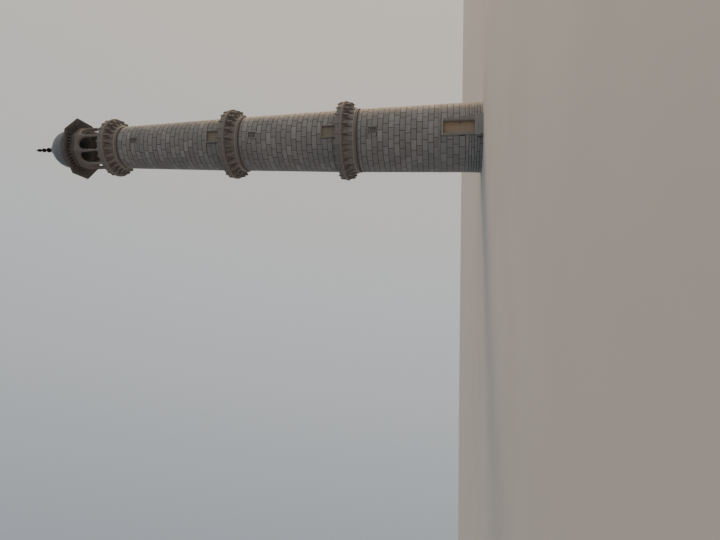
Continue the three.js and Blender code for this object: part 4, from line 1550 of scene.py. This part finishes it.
class MINARET_OT_stage(bpy.types.Operator):
    """Lay the plain floor, set the soft light and stand the camera where the photograph was taken"""
    bl_idname = "minaret.stage"
    bl_label = "Floor, light and camera"

    def execute(self, context):
        stage = context.scene.minaret_stage
        self.floor(stage)
        self.light(context, stage)
        self.camera(context, stage)
        return {"FINISHED"}

    def floor(self, stage):
        bm = bmesh.new()
        bmesh.ops.create_circle(bm, cap_ends=True, segments=64, radius=stage.floor_radius)
        mesh = bpy.data.meshes.new("studio_floor")
        bm.to_mesh(mesh)
        bm.free()
        mesh.materials.append(FINISHES["floor"]())
        floor = bpy.data.objects.new("studio_floor", mesh)
        bpy.context.scene.collection.objects.link(floor)

    def light(self, context, stage):
        """A low warm key light, and a world that is bright on one side and dim and cool on the other."""
        toward = self.direction(stage.key_azimuth, stage.key_elevation)
        lamp = bpy.data.lights.new("warm_key", "SUN")
        lamp.energy = KEY_STRENGTH
        lamp.color = linear(KEY_COLOUR)[:3]
        lamp.angle = math.radians(KEY_SOFTNESS)
        key = bpy.data.objects.new("warm_key", lamp)
        key.rotation_euler = toward.to_track_quat("Z", "Y").to_euler()
        key.location = toward * KEY_DISTANCE
        context.scene.collection.objects.link(key)
        world = bpy.data.worlds.new("soft_studio")
        world.use_nodes = True
        tree = world.node_tree
        tree.nodes.clear()
        aim = add_node(tree, "ShaderNodeTexCoord").outputs["Generated"]
        side = calculate_vector(tree, "DOT_PRODUCT", aim, self.direction(stage.glow_azimuth, 0.0))["Value"]
        glow = add_node(tree, "ShaderNodeValToRGB", {"Fac": ramp(tree, side, (-1.0, 1.0))})
        stops = glow.color_ramp.elements
        for position, _ in GLOW_STOPS[1:-1]:
            stops.new(position)
        for stop, (_, hex_colour) in zip(stops, GLOW_STOPS):
            stop.color = linear(hex_colour)
        back = add_node(tree, "ShaderNodeBackground", {
            "Strength": GLOW_STRENGTH, "Color": glow.outputs["Color"]})
        add_node(tree, "ShaderNodeOutputWorld", {"Surface": back.outputs["Background"]})
        context.scene.world = world

    def direction(self, azimuth, elevation):
        """The direction towards an azimuth and elevation."""
        level = math.cos(elevation)
        return Vector((level * math.sin(azimuth), -level * math.cos(azimuth), math.sin(elevation)))

    def camera(self, context, stage):
        """The photograph lies on its side: the tower's top points to the picture's left."""
        azimuth, distance = stage.camera_azimuth, stage.camera_distance
        place = Vector((distance * math.sin(azimuth), -distance * math.cos(azimuth), stage.camera_height))
        bearing = -azimuth - stage.axis_offset
        ahead = Vector((math.sin(bearing), math.cos(bearing), 0.0))
        level_right = Vector((math.cos(bearing), -math.sin(bearing), 0.0))
        up = Vector((0.0, 0.0, 1.0))
        forward = ahead * math.cos(stage.pitch) + up * math.sin(stage.pitch)
        level_up = up * math.cos(stage.pitch) - ahead * math.sin(stage.pitch)
        right = level_right * math.cos(stage.roll) + level_up * math.sin(stage.roll)
        above = level_up * math.cos(stage.roll) - level_right * math.sin(stage.roll)
        axes = Matrix((-above, right, -forward)).transposed()
        lens = bpy.data.cameras.new("photograph_camera")
        lens.lens = stage.lens
        lens.sensor_width = 36.0
        lens.clip_end = 1000.0
        camera = bpy.data.objects.new("photograph_camera", lens)
        camera.matrix_world = Matrix.Translation(place) @ axes.to_4x4()
        context.scene.collection.objects.link(camera)
        context.scene.camera = camera


# Add-on

OPERATORS = (
    MINARET_OT_bare_walls,
    MINARET_OT_masonry,
    MINARET_OT_belt,
    MINARET_OT_doors,
    MINARET_OT_windows,
    MINARET_OT_balconies,
    MINARET_OT_pavilion,
    MINARET_OT_dome,
    MINARET_OT_stage,
)


class MINARET_PT_panel(bpy.types.Panel):
    """Sizes, colours and building steps of the minaret"""
    bl_label = "Minaret"
    bl_idname = "MINARET_PT_panel"
    bl_space_type = "VIEW_3D"
    bl_region_type = "UI"
    bl_category = "Minaret"

    def draw(self, context):
        layout = self.layout
        for attribute, group in PROPERTY_GROUPS.items():
            box = layout.box()
            box.label(text=group.__doc__)
            settings = getattr(context.scene, attribute)
            for name in group.__annotations__:
                box.prop(settings, name)
        for operator in OPERATORS:
            layout.operator(operator.bl_idname)


CLASSES = (*PROPERTY_GROUPS.values(), *OPERATORS, MINARET_PT_panel)


def register():
    for cls in CLASSES:
        bpy.utils.register_class(cls)
    for attribute, group in PROPERTY_GROUPS.items():
        setattr(bpy.types.Scene, attribute, PointerProperty(type=group))


def unregister():
    for attribute in PROPERTY_GROUPS:
        delattr(bpy.types.Scene, attribute)
    for cls in reversed(CLASSES):
        bpy.utils.unregister_class(cls)


def main():
    register()
    for operator in OPERATORS:
        group, name = operator.bl_idname.split(".")
        getattr(getattr(bpy.ops, group), name)()


if __name__ == "__main__":
    main()
